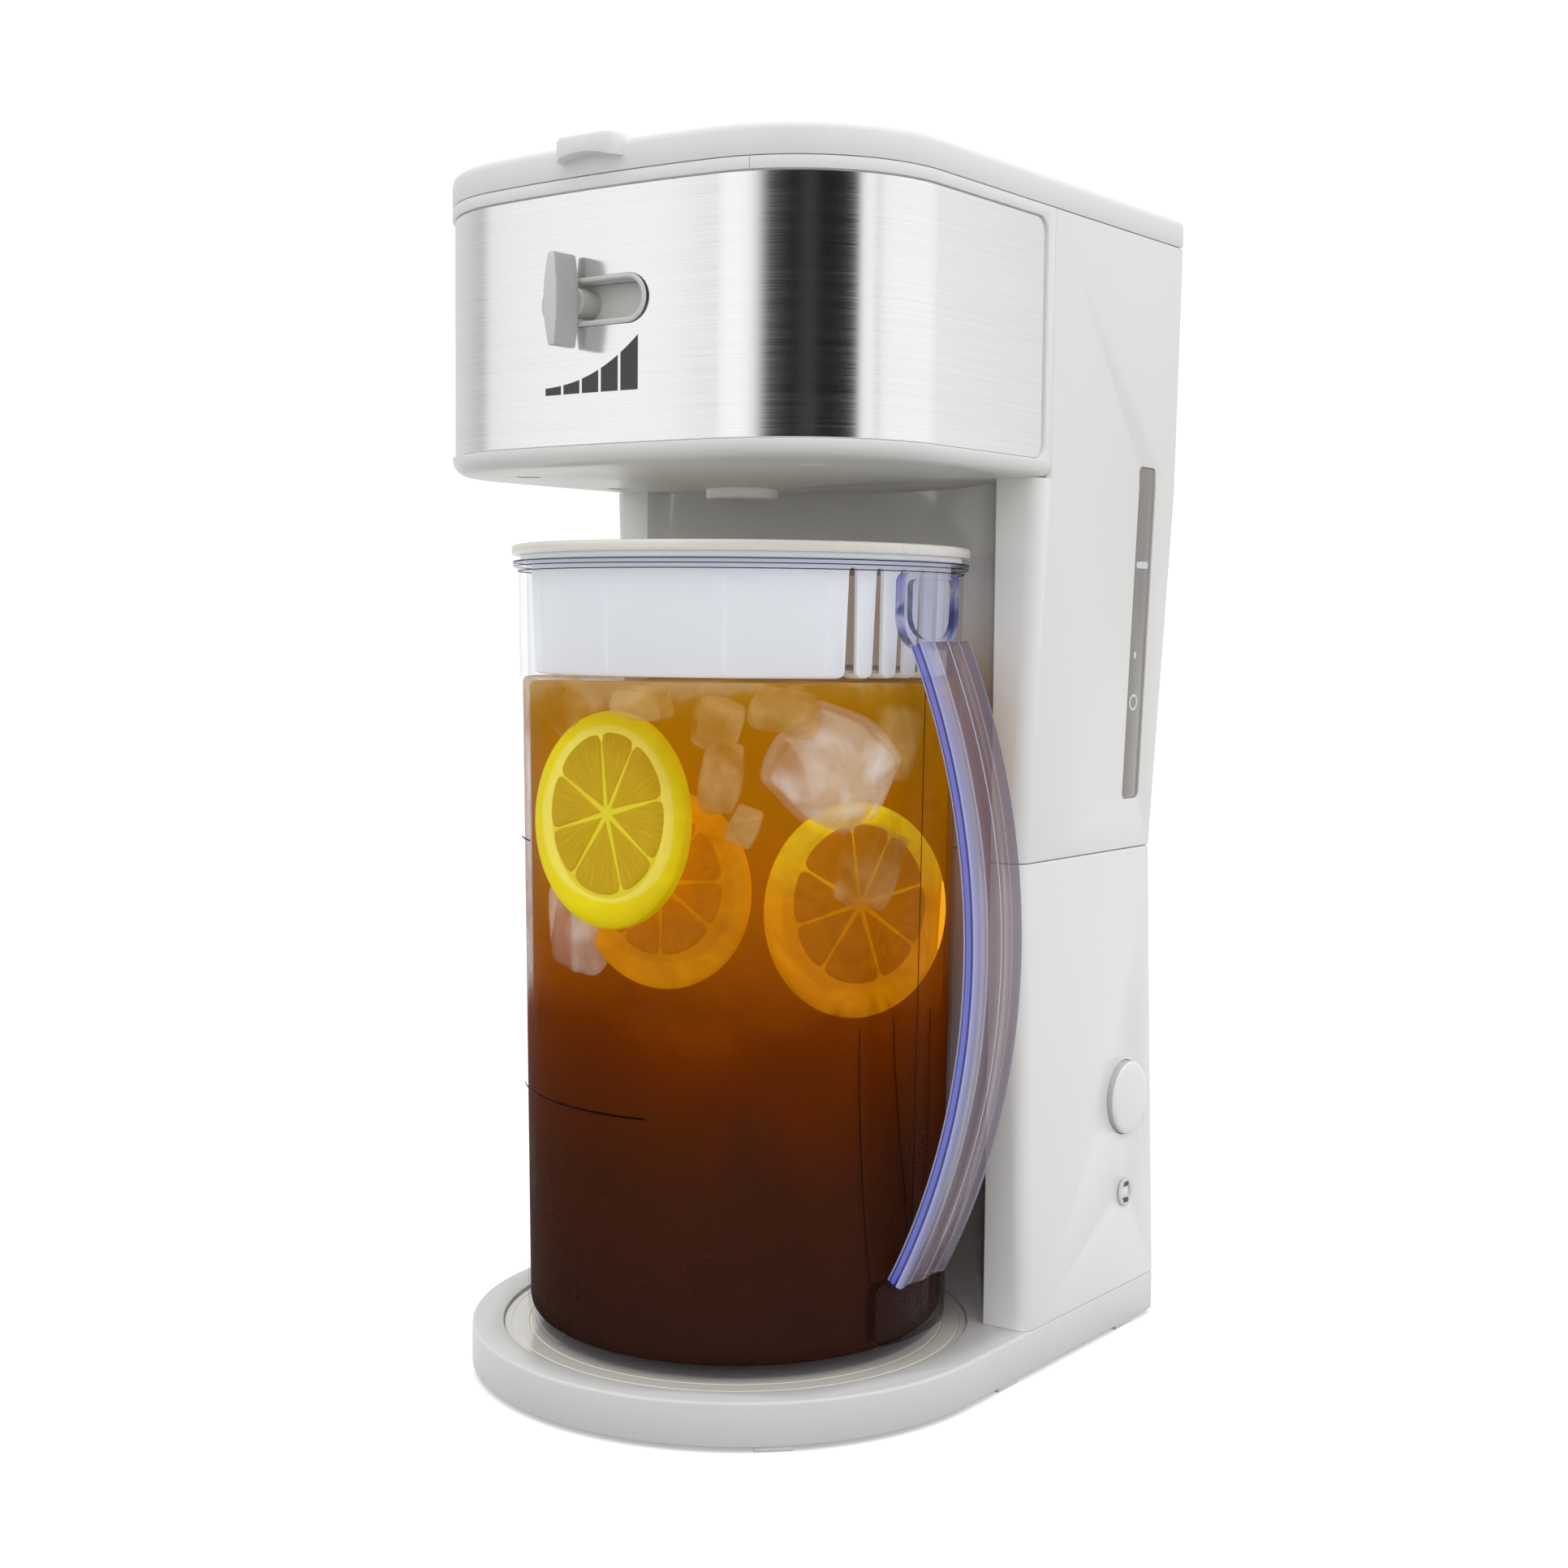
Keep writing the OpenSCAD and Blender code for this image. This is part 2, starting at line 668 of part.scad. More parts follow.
module head_deck() {
    mouth_back = top_back - mouth_margin;
    d = mouth_back - mouth_front;
    z = ledge_z;
    skirt = 5.5;
    color("whitesmoke") difference() {
        union() {
            translate([0, 0, z]) linear_extrude(deck_t)
                polygon(head_plan(head_wall + fit, top_back - head_wall - 1.2, back_r));
            translate([0, mouth_front + d/2, z - skirt]) linear_extrude(skirt + deck_t)
                rounded_bar(mouth_w, d, 10);
        }
        translate([0, mouth_front + d/2, z - skirt - over])
            linear_extrude(skirt + deck_t + 2*over)
            rounded_bar(mouth_w - 3.2, d - 3.2, 8.4);
    }
}

module steel_panel() {
    color("lightsteelblue") difference() {
        intersection() {
            translate([0, 0, panel_z]) linear_extrude(panel_h) difference() {
                polygon(head_plan(panel_sink, head_back + 20, 0.3));
                polygon(head_plan(panel_sink + panel_t, head_back + 22, 0.3));
            }
            along_x(-body_w, body_w) panel_outline(0);
        }
        translate([0, 0, slider_z]) upright(-head_front - over, 3*head_wall)
            slot_2d(slot_len + 2*collar_w + 2*fit, slot_h + 2*collar_w + 2*fit);
    }
}

module slot_bezel() {
    depth = carriage_y - slide_gap + panel_face + 0.8;
    color("silver") difference() {
        union() {
            translate([0, 0, slider_z]) upright(-panel_face - 0.8, 0.75)
                slot_2d(slot_len + 2*bezel_w, slot_h + 2*bezel_w);
            translate([0, 0, slider_z]) upright(-panel_face - 0.8, depth)
                slot_2d(slot_len + 2*collar_w, slot_h + 2*collar_w);
        }
        translate([0, 0, slider_z]) upright(-panel_face - 2, depth + 4)
            slot_2d(slot_len, slot_h);
    }
}

// The paddle is widest and deepest at its middle, and its front is bowed
module strength_knob() {
    back = -panel_face - 1.7;
    function level(t) = let (w = paddle_w*(1 - 0.42*t*t), d = paddle_d*(1 - 0.2*t*t), c = 0.9)
        [[knob_rest - w/2 + c, back], [knob_rest - w/2, back - c],
         [knob_rest - w/2, back - d + 2*c], [knob_rest - w/4, back - d + c/2],
         [knob_rest, back - d], [knob_rest + w/4, back - d + c/2],
         [knob_rest + w/2, back - d + 2*c],
         [knob_rest + w/2, back - c], [knob_rest + w/2 - c, back]];
    color("silver") {
        loft([for (k = [-6:6]) let (t = k/6) ring_at(level(t), slider_z + t*paddle_h/2)]);
        translate([knob_rest, back - 0.5, slider_z]) rotate([-90, 0, 0])
            cylinder(r = stem_d/2, h = carriage_y - back + 0.5, $fn = 64);
    }
}

gate_w = 14;
gate_z = slider_z - 3;

// Slides behind the slot and closes it, with an arm that carries the gate under the riser's mouth
module slide_carriage() {
    color("gray") difference() {
        translate([knob_rest, 0, 0]) {
            translate([-carriage_len/2, carriage_y, slider_z - carriage_h/2])
                cube([carriage_len, carriage_t, carriage_h]);
            translate([-gate_w/2, carriage_y + carriage_t - 0.01, gate_z - 2])
                cube([gate_w, axis_y - carriage_y - carriage_t, 2]);
            translate([0, axis_y, gate_z - 2]) cylinder(r = gate_w/2, h = 2, $fn = 48);
            for (s = [-1, 1]) translate([s*(gate_w/2 - 0.75) - 0.75, carriage_y + carriage_t - 0.01,
                gate_z - 2]) cube([1.5, axis_y - carriage_y - carriage_t, 5]);
        }
        translate([knob_rest, axis_y, gate_z - 5]) cylinder(r = 4, h = 10, $fn = 40);
    }
}

// Frame with two channels, screwed behind the slot, in which the carriage slides
module slide_guide() {
    len = carriage_len + slider_travel + 2;
    rail = 2;
    y0 = carriage_y - rail - slide_gap;
    depth = carriage_t + 2*rail + 2*slide_gap;
    z_in = carriage_h/2 + slide_gap;
    color("gainsboro") {
        for (s = [-1, 1]) difference() {
            translate([-len/2, carriage_y - slide_gap, slider_z + (s > 0 ? z_in - 2 : -z_in - rail)])
                cube([len, depth - rail, rail + 2]);
            translate([-len/2 - over, carriage_y - slide_gap - over,
                       slider_z + (s > 0 ? z_in - 2 - over : -z_in)])
                cube([len + 2*over, carriage_t + 2*slide_gap + over, 2 + over]);
        }
        for (s = [-1, 1]) translate([s*(len/2 - 2) - 2, carriage_y + carriage_t + slide_gap,
            slider_z - z_in]) cube([4, rail, 2*z_in]);
        intersection() {
            head_block(head_wall + 0.02, head_z, rim_z);
            for (x = [-1, 1], z = [-1, 1])
                translate([x*(len/2 - 4), y0 - 2, slider_z + z*(z_in + rail + 1)])
                    rotate([-90, 0, 0]) cylinder(r = 2.4, h = 6.5, $fn = 24);
        }
    }
}

// Funnel under the riser's mouth, dropped into the underside from above
module outlet_funnel() {
    top = head_z + head_wall;
    low = head_z - outlet_drop + 0.9;
    color("gainsboro") translate([0, axis_y, 0]) rotate_extrude($fn = 96)
        polygon([[neck_r - 2.2, low], [neck_r, low], [neck_r, top], [neck_r + 2, top],
                 [neck_r + 2, top + 1.2], [24, top + 13], [22.4, top + 13.6],
                 [neck_r - 2.2, top + 1]]);
}

// Ring that is pushed on to the neck from below
module outlet_ring() {
    low = head_z - outlet_drop;
    color("gainsboro") translate([0, axis_y, 0]) rotate_extrude($fn = 96)
        polygon([[neck_r - 1.6, low + 0.5], [outlet_r - 1.4, low], [outlet_r - 0.4, low],
                 [outlet_r, low + 0.5], [outlet_r, neck_flange_z], [neck_r + 0.02, neck_flange_z],
                 [neck_r + 0.02, low + 0.88], [neck_r - 1.6, low + 0.88]]);
}

/* Water path */
hose_bore = tube_r + 0.05;
valve_z = waist_z - 32;
leg_r = 5.4;
bend_gap = 3;
bend_r = (heater_x - bend_gap)/2;
turn_z = heater_top + 6;
riser_foot = turn_z + 2*bend_r + 4;

module bend(p, r, from, rr) {
    translate(p) rotate([90, 0, 0]) rotate([0, 0, from]) rotate_extrude(angle = 90, $fn = 96)
        translate([r, 0]) circle(rr, $fn = 32);
}

module riser_run(r, extra) {
    br = 10;
    translate([0, leg_y, riser_foot - extra])
        cylinder(r = r, h = rise_z - br - riser_foot + extra, $fn = 32);
    for (s = [0, 1]) translate([0, s == 0 ? leg_y - br : axis_y + br, rise_z - br])
        rotate([90, 0, -90]) rotate([0, 0, s == 0 ? 90 : 0])
            rotate_extrude(angle = 90, $fn = 96) translate([br, 0]) circle(r, $fn = 32);
    translate([0, leg_y - br, rise_z]) rotate([90, 0, 0])
        cylinder(r = r, h = leg_y - axis_y - 2*br, $fn = 32);
    translate([0, axis_y, gate_z + 4.6 - extra])
        cylinder(r = r, h = rise_z - br - gate_z - 4.6 + extra, $fn = 32);
}

// Climbs through the tank and crosses to the middle of the head
module riser_tube() {
    color("white") difference() {
        riser_run(tube_r, 0);
        riser_run(tube_bore_r, over);
    }
}

module check_valve() {
    color("white") translate([drain.x, drain.y, valve_z]) difference() {
        union() {
            cylinder(r = tube_r, h = tank_floor + tank_wall + 2 - valve_z, $fn = 40);
            translate([0, 0, 12]) cylinder(r1 = 4.4, r2 = 7, h = 3, $fn = 40);
            translate([0, 0, 15]) cylinder(r = 7, h = 10, $fn = 40);
            translate([0, 0, 25]) cylinder(r1 = 7, r2 = 5, h = 3, $fn = 40);
        }
        translate([0, 0, -over]) cylinder(r = tube_bore_r, h = 16, $fn = 40);
        translate([0, 0, 14.4]) cylinder(r = 5.2, h = 10.6, $fn = 40);
        translate([0, 0, 24]) cylinder(r = tube_bore_r, h = 60, $fn = 40);
    }
}

module inlet_hose() {
    color("mistyrose") translate([drain.x, drain.y, heater_top - 8])
        tube(hose_r, hose_bore, valve_z + 10 - heater_top + 8);
}

// Rises from the heater's right leg and turns twice to meet the riser
module hose_run(r, extra) {
    translate([heater_x, leg_y, heater_top - 8 - extra])
        cylinder(r = r, h = turn_z - heater_top + 8 + extra, $fn = 32);
    bend([heater_x - bend_r, leg_y, turn_z], bend_r, 0, r);
    rod_x(bend_r - 0.2, bend_r + bend_gap + 0.2, leg_y, turn_z + bend_r, r);
    bend([bend_r, leg_y, turn_z + 2*bend_r], bend_r, 180, r);
    translate([0, leg_y, turn_z + 2*bend_r]) cylinder(r = r, h = 14 + extra, $fn = 32);
}

module outlet_hose() {
    color("mistyrose") difference() {
        hose_run(hose_r, 0);
        hose_run(hose_bore, over);
    }
}

// A bent bar: a water tube in the middle and a heating rod bonded behind it
module heater() {
    low = heater_top - 28;
    module section() {
        circle(leg_r, $fn = 40);
        translate([0, -leg_r]) circle(3.6, $fn = 32);
    }
    color("silver") difference() {
        union() {
            for (s = [-1, 1]) translate([s*heater_x, leg_y, low]) {
                linear_extrude(14) mirror([0, 1]) section();
                cylinder(r = tube_r, h = 28, $fn = 40);
            }
            translate([0, leg_y, low]) rotate([90, 0, 0]) rotate([0, 0, 180])
                rotate_extrude(angle = 180, $fn = 120) translate([heater_x, 0]) section();
        }
        for (s = [-1, 1]) translate([s*heater_x, leg_y, low])
            cylinder(r = tube_bore_r, h = 30, $fn = 40);
        translate([0, leg_y, low]) rotate([90, 0, 0]) rotate([0, 0, 180])
            rotate_extrude(angle = 180, $fn = 120) translate([heater_x, 0])
                circle(tube_bore_r, $fn = 32);
    }
}

// Strap across the two legs, on two posts, with a saddle round each leg
module heater_bracket() {
    t = 1.5;
    z = post_at[0][1];
    saddle = leg_r + 0.2;
    color("darkgray") difference() {
        union() {
            translate([-heater_x, bracket_y + 0.05, z - 5]) cube([2*heater_x, t, 10]);
            for (s = [-1, 1]) translate([s*heater_x, leg_y, z - 5])
                cylinder(r = saddle + t, h = 10, $fn = 48);
            for (s = [-1, 1]) translate([s*heater_x - t/2, bracket_y + 0.05, z - 5])
                cube([t, leg_y - bracket_y - saddle, 10]);
        }
        for (s = [-1, 1]) translate([s*heater_x, leg_y, z - 6])
            cylinder(r = saddle, h = 12, $fn = 48);
        for (s = [-1, 1]) translate([s*heater_x - 4.6, leg_y, z - 6]) cube([9.2, 20, 12]);
        for (p = post_at) translate([p.x, bracket_y - over, z]) rotate([-90, 0, 0])
            cylinder(r = screw_r, h = 5, $fn = 24);
    }
    color("dimgray") for (p = post_at) translate([p.x, bracket_y - 4, z]) rotate([-90, 0, 0]) {
        cylinder(r = screw_r - 0.25, h = 5.7, $fn = 24);
        translate([0, 0, 5.6]) cylinder(r = screw_head_r - 0.4, h = 1.4, $fn = 24);
    }
}

module thermostat() {
    low = heater_top - 28 - heater_x - leg_r;
    color("black") translate([0, leg_y, low - 6.4]) {
        cylinder(r = 8, h = 5, $fn = 48);
        translate([0, 0, 5]) cylinder(r = 6.5, h = 1.3, $fn = 48);
    }
    color("silver") for (s = [-1, 1]) translate([s*4 - 1.5, leg_y - 0.4, low - 10.4])
        cube([3, 0.8, 4.2]);
}

module thermal_fuse() {
    color("tan") translate([heater_x + leg_r + 2.2, leg_y, heater_top - 35]) {
        cylinder(r = 2.1, h = 10, $fn = 32);
        translate([0, 0, -3]) cylinder(r = 0.6, h = 16, $fn = 20);
    }
}

/* Controls */
plunger_r = 2.8;
switch_face = 13.4;

module brew_button() {
    r = button_d/2;
    top = button_out;
    color("white") wall_frame(button_y, button_z) rotate_extrude($fn = 96)
        polygon(concat([[0, top]],
            [for (a = [75:-15:0]) [r*sin(90 - a)*0.86, top - 0.9*(1 - sin(a))]],
            [[r - 0.4, top - 1.3], [r, top - 1.9], [r, -3.2], [r + 1.2, -3.2],
             [r + 1.2, -4.6], [r - 1.5, -4.6], [r - 1.5, -0.2], [plunger_r, -0.2],
             [plunger_r, -switch_face - 0.6], [plunger_r - 0.6, -switch_face - 1.2],
             [0, -switch_face - 1.2]]));
}

// Switch with its own return spring, on a plate whose legs stand on the inside of the wall
module button_switch() {
    leg_at = button_d/2 + 4.5;
    color("dimgray") wall_frame(button_y, button_z) difference() {
        union() {
            translate([0, 0, -switch_face - 2]) linear_extrude(2)
                rounded_bar(2*leg_at + 5, 14, 3);
            // The wall leans, so the lower leg is the longer one
            for (s = [-1, 1])
                let (lean = half_w(button_z - s*leg_at) - half_w(button_z))
                    translate([s*leg_at - 1.6, -4, -switch_face - 2])
                        cube([3.2, 8, switch_face + 2 - wall - 0.1 + lean]);
            translate([-6, -8, -switch_face - 14]) cube([12, 16, 12.5]);
            for (y = [-4, 4]) translate([-0.4, y - 1.5, -switch_face - 19]) cube([0.8, 3, 5.5]);
        }
        translate([0, 0, -switch_face - 5])
            cylinder(r = plunger_r + slide_gap + 0.1, h = 5 + over, $fn = 32);
    }
}

module indicator_ring() {
    r = lamp_d/2;
    color("silver") wall_frame(lamp_y, lamp_z) rotate_extrude($fn = 64)
        polygon([[r - 2, -3], [r - 1, -3], [r - 1, 0.25], [r, 0.25], [r, 0.6], [r - 0.4, 0.9],
                 [r - 1.5, 0.9], [r - 2, 0.5]]);
}

module indicator_lens() {
    r = lamp_d/2 - 2 - 0.05;
    color("whitesmoke") wall_frame(lamp_y, lamp_z) rotate_extrude($fn = 64)
        polygon([[0, -4], [r + 0.8, -4], [r + 0.8, -3.1], [r, -3.1], [r, 0.2], [r*0.7, 0.5],
                 [0, 0.6]]);
}

/* Tank lid */
lid_top = lid_z + lid_h;

module tank_lid() {
    r = lid_edge_r;
    mid = [0, (top_back - head_front)/2];
    function shrink(s) = [for (p = head_plan(r, top_back - r)) mid + s*(p - mid)];
    boss_len = 8;
    color("white") difference() {
        union() {
            difference() {
                loft(concat([ring_at(head_plan(0, top_back), lid_z)],
                    [for (a = [0:30:90]) ring_at(head_plan(r*(1 - cos(a)), top_back - r*(1 - cos(a))),
                        lid_top - r*(1 - sin(a)))],
                    [for (s = [0.75, 0.5, 0.25, 0.02])
                        ring_at(shrink(s), lid_top + lid_crown*(1 - s*s))]));
                translate([0, 0, lid_z - over]) linear_extrude(lid_h - lid_wall + over)
                    polygon(head_plan(lid_wall, top_back - lid_wall));
            }
            finger_tab();
            // Bosses on both sides of each lug
            for (s = [-1, 1], d = [-1, 1])
                let (x = s*lug_x + d*(lug_w/2 + 0.4 + boss_len/2)) {
                    rod_x(x - boss_len/2, x + boss_len/2, pivot_y, pivot_z, pivot_r - 0.1);
                    translate([x - boss_len/2, pivot_y - pivot_r + 0.1, pivot_z])
                        cube([boss_len, 2*pivot_r - 0.2, lid_top - lid_wall - pivot_z + 0.5]);
                }
        }
        // Rear lower edge rounded about the hinge
        difference() {
            translate([-body_w, pivot_y, lid_z - over])
                cube([2*body_w, 2*pivot_r, pivot_r + over]);
            rod_x(-2*body_w, 2*body_w, pivot_y, pivot_z, pivot_r);
        }
        for (s = [-1, 1]) {
            translate([s*lug_x - lug_w/2 - 0.4, pivot_y - pivot_r - 0.3, lid_z - over])
                cube([lug_w + 0.8, 3*pivot_r, 2*pivot_r + 0.2 + over]);
            rod_x(s*lug_x - pin_len/2 - (s < 0 ? 3 : 0.4), s*lug_x + pin_len/2 + (s > 0 ? 3 : 0.4),
                  pivot_y, pivot_z, pin_r + pin_gap);
        }
    }
}

module finger_tab() {
    root = 12;
    rise = 1.5;
    hollow = tab_w - 4;
    hollow_r = (hollow*hollow/4 + rise*rise)/(2*rise);
    z = lid_top + 1 - tab_t;
    depth = tab_reach + root;
    y = -head_front - tab_reach + depth/2;
    difference() {
        translate([0, y, z]) {
            linear_extrude(tab_t - 0.8) rounded_bar(tab_w, depth, 5);
            translate([0, 0, tab_t - 0.8]) linear_extrude(0.8)
                rounded_bar(tab_w - 1.4, depth - 1.4, 4.3);
        }
        translate([0, -head_front, z + rise - hollow_r]) rotate([90, 0, 0])
            cylinder(r = hollow_r, h = 3*tab_reach, $fn = 180);
    }
}

module hinge_pins() {
    color("silver") for (s = [-1, 1])
        rod_x(s*lug_x - pin_len/2, s*lug_x + pin_len/2, pivot_y, pivot_z, pin_r);
}

/* Pitcher */
pitcher_z = seat_z + lift_gap;
pitcher_rim = pitcher_z + pitcher_h;
taper_z0 = pitcher_z + pitcher_corner_r + 3;
taper_z1 = pitcher_rim - 2;
function pitcher_r(z) = pitcher_foot_r
    + (pitcher_top_r - pitcher_foot_r)*(z - taper_z0)/(taper_z1 - taper_z0);

module pitcher_body() {
    c = pitcher_corner_r;
    z0 = pitcher_z;
    foot = pitcher_foot_r - c;
    rb = pitcher_r(z0 + c);
    t = pitcher_wall;
    color("aliceblue", 0.5) translate([0, axis_y, 0]) rotate_extrude($fn = 160)
        polygon(concat([[0, z0 + 1], [foot - 6, z0 + 1], [foot - 5, z0], [foot, z0]],
            [for (a = [15:15:90]) [rb - c + c*sin(a), z0 + c*(1 - cos(a))]],
            [[pitcher_r(pitcher_rim - 3.4), pitcher_rim - 3.4],
             [pitcher_top_r + rim_out, pitcher_rim - 1.9],
             [pitcher_top_r + rim_out, pitcher_rim - 0.4],
             [pitcher_top_r + rim_out - 0.4, pitcher_rim],
             [pitcher_top_r - t + 0.4, pitcher_rim], [pitcher_top_r - t, pitcher_rim - 0.4]],
            [for (a = [90:-15:15]) [rb - c + (c - t)*sin(a), z0 + c - (c - t)*cos(a) + 1]],
            [[foot - 6, z0 + 1 + t], [0, z0 + 1 + t]]));
}

module pitcher_cone(grow, z0, z1) {
    translate([0, axis_y, z0])
        cylinder(r1 = pitcher_r(z0) + grow, r2 = pitcher_r(z1) + grow, h = z1 - z0, $fn = 160);
}

bracket_z = pitcher_rim - 27.4;
bracket_h = 23.6;
foot_plate_z = pitcher_z + 7.4;
foot_plate_h = 20;
pad_t = 3.2;
handle_reach = pitcher_top_r + handle_out;
grip_end = [foot_plate_z + foot_plate_h - 2, bracket_z + 3];
grip_drop = [handle_reach - pitcher_r(grip_end[0]) - pad_t - grip_foot_out,
             handle_reach - pitcher_r(grip_end[1]) - pad_t - grip_top_out];

// Height from a point on a circle of radius r to its furthest point, which stands d further out
function climb(r, d) = sqrt(d*(2*r - d));
// Radius of the arc that meets both ends and stands handle_reach out between them
function bow_fit(r, n) = n == 0 ? r : bow_fit(r*pow((grip_end[1] - grip_end[0])
    /(climb(r, grip_drop[0]) + climb(r, grip_drop[1])), 2), n - 1);
grip_bow_r = bow_fit(200, 12);
handle_z = grip_end[0] + climb(grip_bow_r, grip_drop[0]);
grip_a0 = -asin((handle_z - grip_end[0])/grip_bow_r);
grip_a1 = asin((grip_end[1] - handle_z)/grip_bow_r);

// A bowed grip with two shallow channels, a framed bracket below the rim, a plate above the foot
module pitcher_handle() {
    channel_r = 16;
    channel_t = 0.6;
    module pad(w, h, z) {
        intersection() {
            pitcher_cone(pad_t, z - over, z + h + over);
            along_x(0, 2*body_w) translate([axis_y, z + h/2]) rounded_bar(w, h, 5);
        }
    }
    color("slateblue", 0.5) difference() {
        union() {
            pad(bracket_w, bracket_h, bracket_z);
            pad(plate_w, foot_plate_h, foot_plate_z);
            translate([handle_reach - grip_bow_r, axis_y, handle_z]) rotate([90, 0, 0])
                rotate([0, 0, grip_a0]) rotate_extrude(angle = grip_a1 - grip_a0, $fn = 360)
                    translate([grip_bow_r - grip_t, 0]) difference() {
                        translate([grip_t/2, 0]) rounded_bar(grip_t, grip_w, 1.1);
                        for (y = [-1, 1]) translate([grip_t + channel_r - channel_t, y*grip_w/4])
                            circle(channel_r, $fn = 96);
                    }
        }
        pitcher_cone(0.05, foot_plate_z - 4, pitcher_rim);
        // Sunk field in the upper bracket, round at its lower end
        difference() {
            along_x(0, 2*body_w) translate([axis_y, bracket_z + bracket_h/2 + 1])
                rounded_bar(bracket_w - 7, bracket_h - 8, 7);
            pitcher_cone(pad_t - 1.4, bracket_z - 4, pitcher_rim);
            translate([0, axis_y - grip_w, 0]) cube([2*body_w, 2*grip_w, grip_end[1] + 0.6]);
        }
    }
}

basket_top = pitcher_rim + 1.5;
basket_z = basket_top - basket_h - 1.5;
basket_out = pitcher_top_r - pitcher_wall - 1.5;
basket_in = basket_out - basket_wall;
basket_taper = 1.2;
first_slot = 67;
slot_step = 8.6;
slot_head = 4;
finger_r = 2.5;

// One pouring slot, open below and with a round upper end, and the round ends of its fingers
module basket_slot(a) {
    head = basket_h + 1.5 - slot_head - slot_w/2;
    translate([0, axis_y, basket_z]) rotate(a - 90) translate([basket_in - 3, 0, 0]) {
        translate([0, -slot_w/2, -over]) cube([8, slot_w, head + over]);
        translate([0, 0, head]) rotate([0, 90, 0]) cylinder(d = slot_w, h = 8, $fn = 24);
        difference() {
            translate([0, -slot_w/2 - finger_r, -over])
                cube([8, slot_w + 2*finger_r, finger_r + over]);
            for (s = [-1, 1]) translate([-1, s*(slot_w/2 + finger_r), finger_r])
                rotate([0, 90, 0]) cylinder(r = finger_r, h = 10, $fn = 36);
        }
    }
}

// Drops into the pitcher's mouth and hangs by its flange, with pouring slots towards the handle
module brew_basket() {
    floor = 1.6;
    color("white") difference() {
        union() {
            translate([0, axis_y, 0]) rotate_extrude($fn = 144)
                polygon([[basket_out - basket_taper - 8, basket_z],
                         [basket_out - basket_taper - 1, basket_z],
                         [basket_out - basket_taper, basket_z + 1],
                         [basket_out, pitcher_rim - 1], [basket_out, pitcher_rim + lift_gap],
                         [pitcher_top_r - 0.6, pitcher_rim + lift_gap],
                         [pitcher_top_r - 0.6, basket_top],
                         [basket_in, basket_top],
                         [basket_in - basket_taper, basket_z + floor],
                         [basket_out - basket_taper - 8, basket_z + floor]]);
            translate([0, axis_y, basket_z]) intersection() {
                cylinder(r = basket_out - basket_taper - 4, h = floor, $fn = 96);
                union() {
                    cylinder(r = 12, h = floor, $fn = 48);
                    for (a = [0:60:300]) rotate(a) translate([0, -2, 0]) cube([80, 4, floor]);
                    difference() {
                        cylinder(r = 40, h = floor, $fn = 96);
                        translate([0, 0, -over]) cylinder(r = 36, h = floor + 2*over, $fn = 96);
                    }
                }
            }
            // Upright ribs on the outside
            for (a = [0, 33, 60, 180, 213, 240, 300, 330]) translate([0, axis_y, basket_z + 1])
                rotate(a - 90) translate([basket_out - basket_taper - 0.6, -0.6, 0])
                    cube([2, 1.2, basket_h - 5]);
        }
        for (k = [0:basket_slots - 1]) basket_slot(first_slot + k*slot_step);
    }
}

// Perforated strainer that lies on the basket's floor
module basket_filter() {
    t = 0.8;
    r = basket_in - basket_taper - 1;
    color("gainsboro") difference() {
        translate([0, axis_y, basket_z + 1.6 + lift_gap]) cylinder(r = r, h = t, $fn = 96);
        for (ring = [1:4], k = [0:6*ring - 1])
            translate([0, axis_y, basket_z]) rotate(k*60/ring) translate([ring*13, 0, 0])
                cylinder(r = 2.2, h = 6, $fn = 16);
    }
}

module pitcher_lid() {
    lid_r = pitcher_top_r + lid_out;
    z0 = basket_top + lift_gap;
    z1 = z0 + pitcher_lid_h;
    ring = basket_in - 0.5;
    hole = 14;
    color("ivory") translate([0, axis_y, 0]) rotate_extrude($fn = 144)
        polygon([[hole, z0 - 2.6], [hole + 1.6, z0 - 2.6], [hole + 6, z0 + 0.6],
                 [ring - 1.6, z1 - 1.8], [ring - 1.6, z0 - 4], [ring - 0.4, z0 - 4],
                 [ring, z0 - 3.6], [ring, z0], [lid_r - 0.4, z0],
                 [lid_r, z0 + 0.4], [lid_r, z1 - 1.2],
                 [lid_r - 0.35, z1 - 0.35], [lid_r - 1.2, z1],
                 [58, z1 + 0.5], [34, z1 + 0.9], [30, z1 + 0.7], [hole + 4, z0 + 1.4],
                 [hole, z0 - 0.6]]);
}

// The origin lies under the middle of the whole object, whose right side is the handle
shift_x = (handle_reach - body_w/2)/2;
shift_y = (top_back - base_front)/2;

module placed() {
    translate([-shift_x, -shift_y, 0]) children();
}

placed() base_shell();
placed() base_plate();
placed() base_screws();
placed() feet();
placed() seat_disc();
placed() lower_housing();
placed() rear_cover();
placed() cover_screws();
placed() cord_gland();
placed() tank_housing();
placed() water_tank();
placed() tank_seals();
placed() level_window();
placed() head_casing();
placed() casing_plugs();
placed() head_deck();
placed() steel_panel();
placed() slot_bezel();
placed() strength_knob();
placed() slide_carriage();
placed() slide_guide();
placed() outlet_funnel();
placed() outlet_ring();
placed() riser_tube();
placed() check_valve();
placed() inlet_hose();
placed() outlet_hose();
placed() heater();
placed() heater_bracket();
placed() thermostat();
placed() thermal_fuse();
placed() brew_button();
placed() button_switch();
placed() indicator_ring();
placed() indicator_lens();
placed() tank_lid();
placed() hinge_pins();
placed() pitcher_body();
placed() pitcher_handle();
placed() brew_basket();
placed() basket_filter();
placed() pitcher_lid();
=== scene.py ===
"""The visible pieces of an iced tea maker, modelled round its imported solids."""

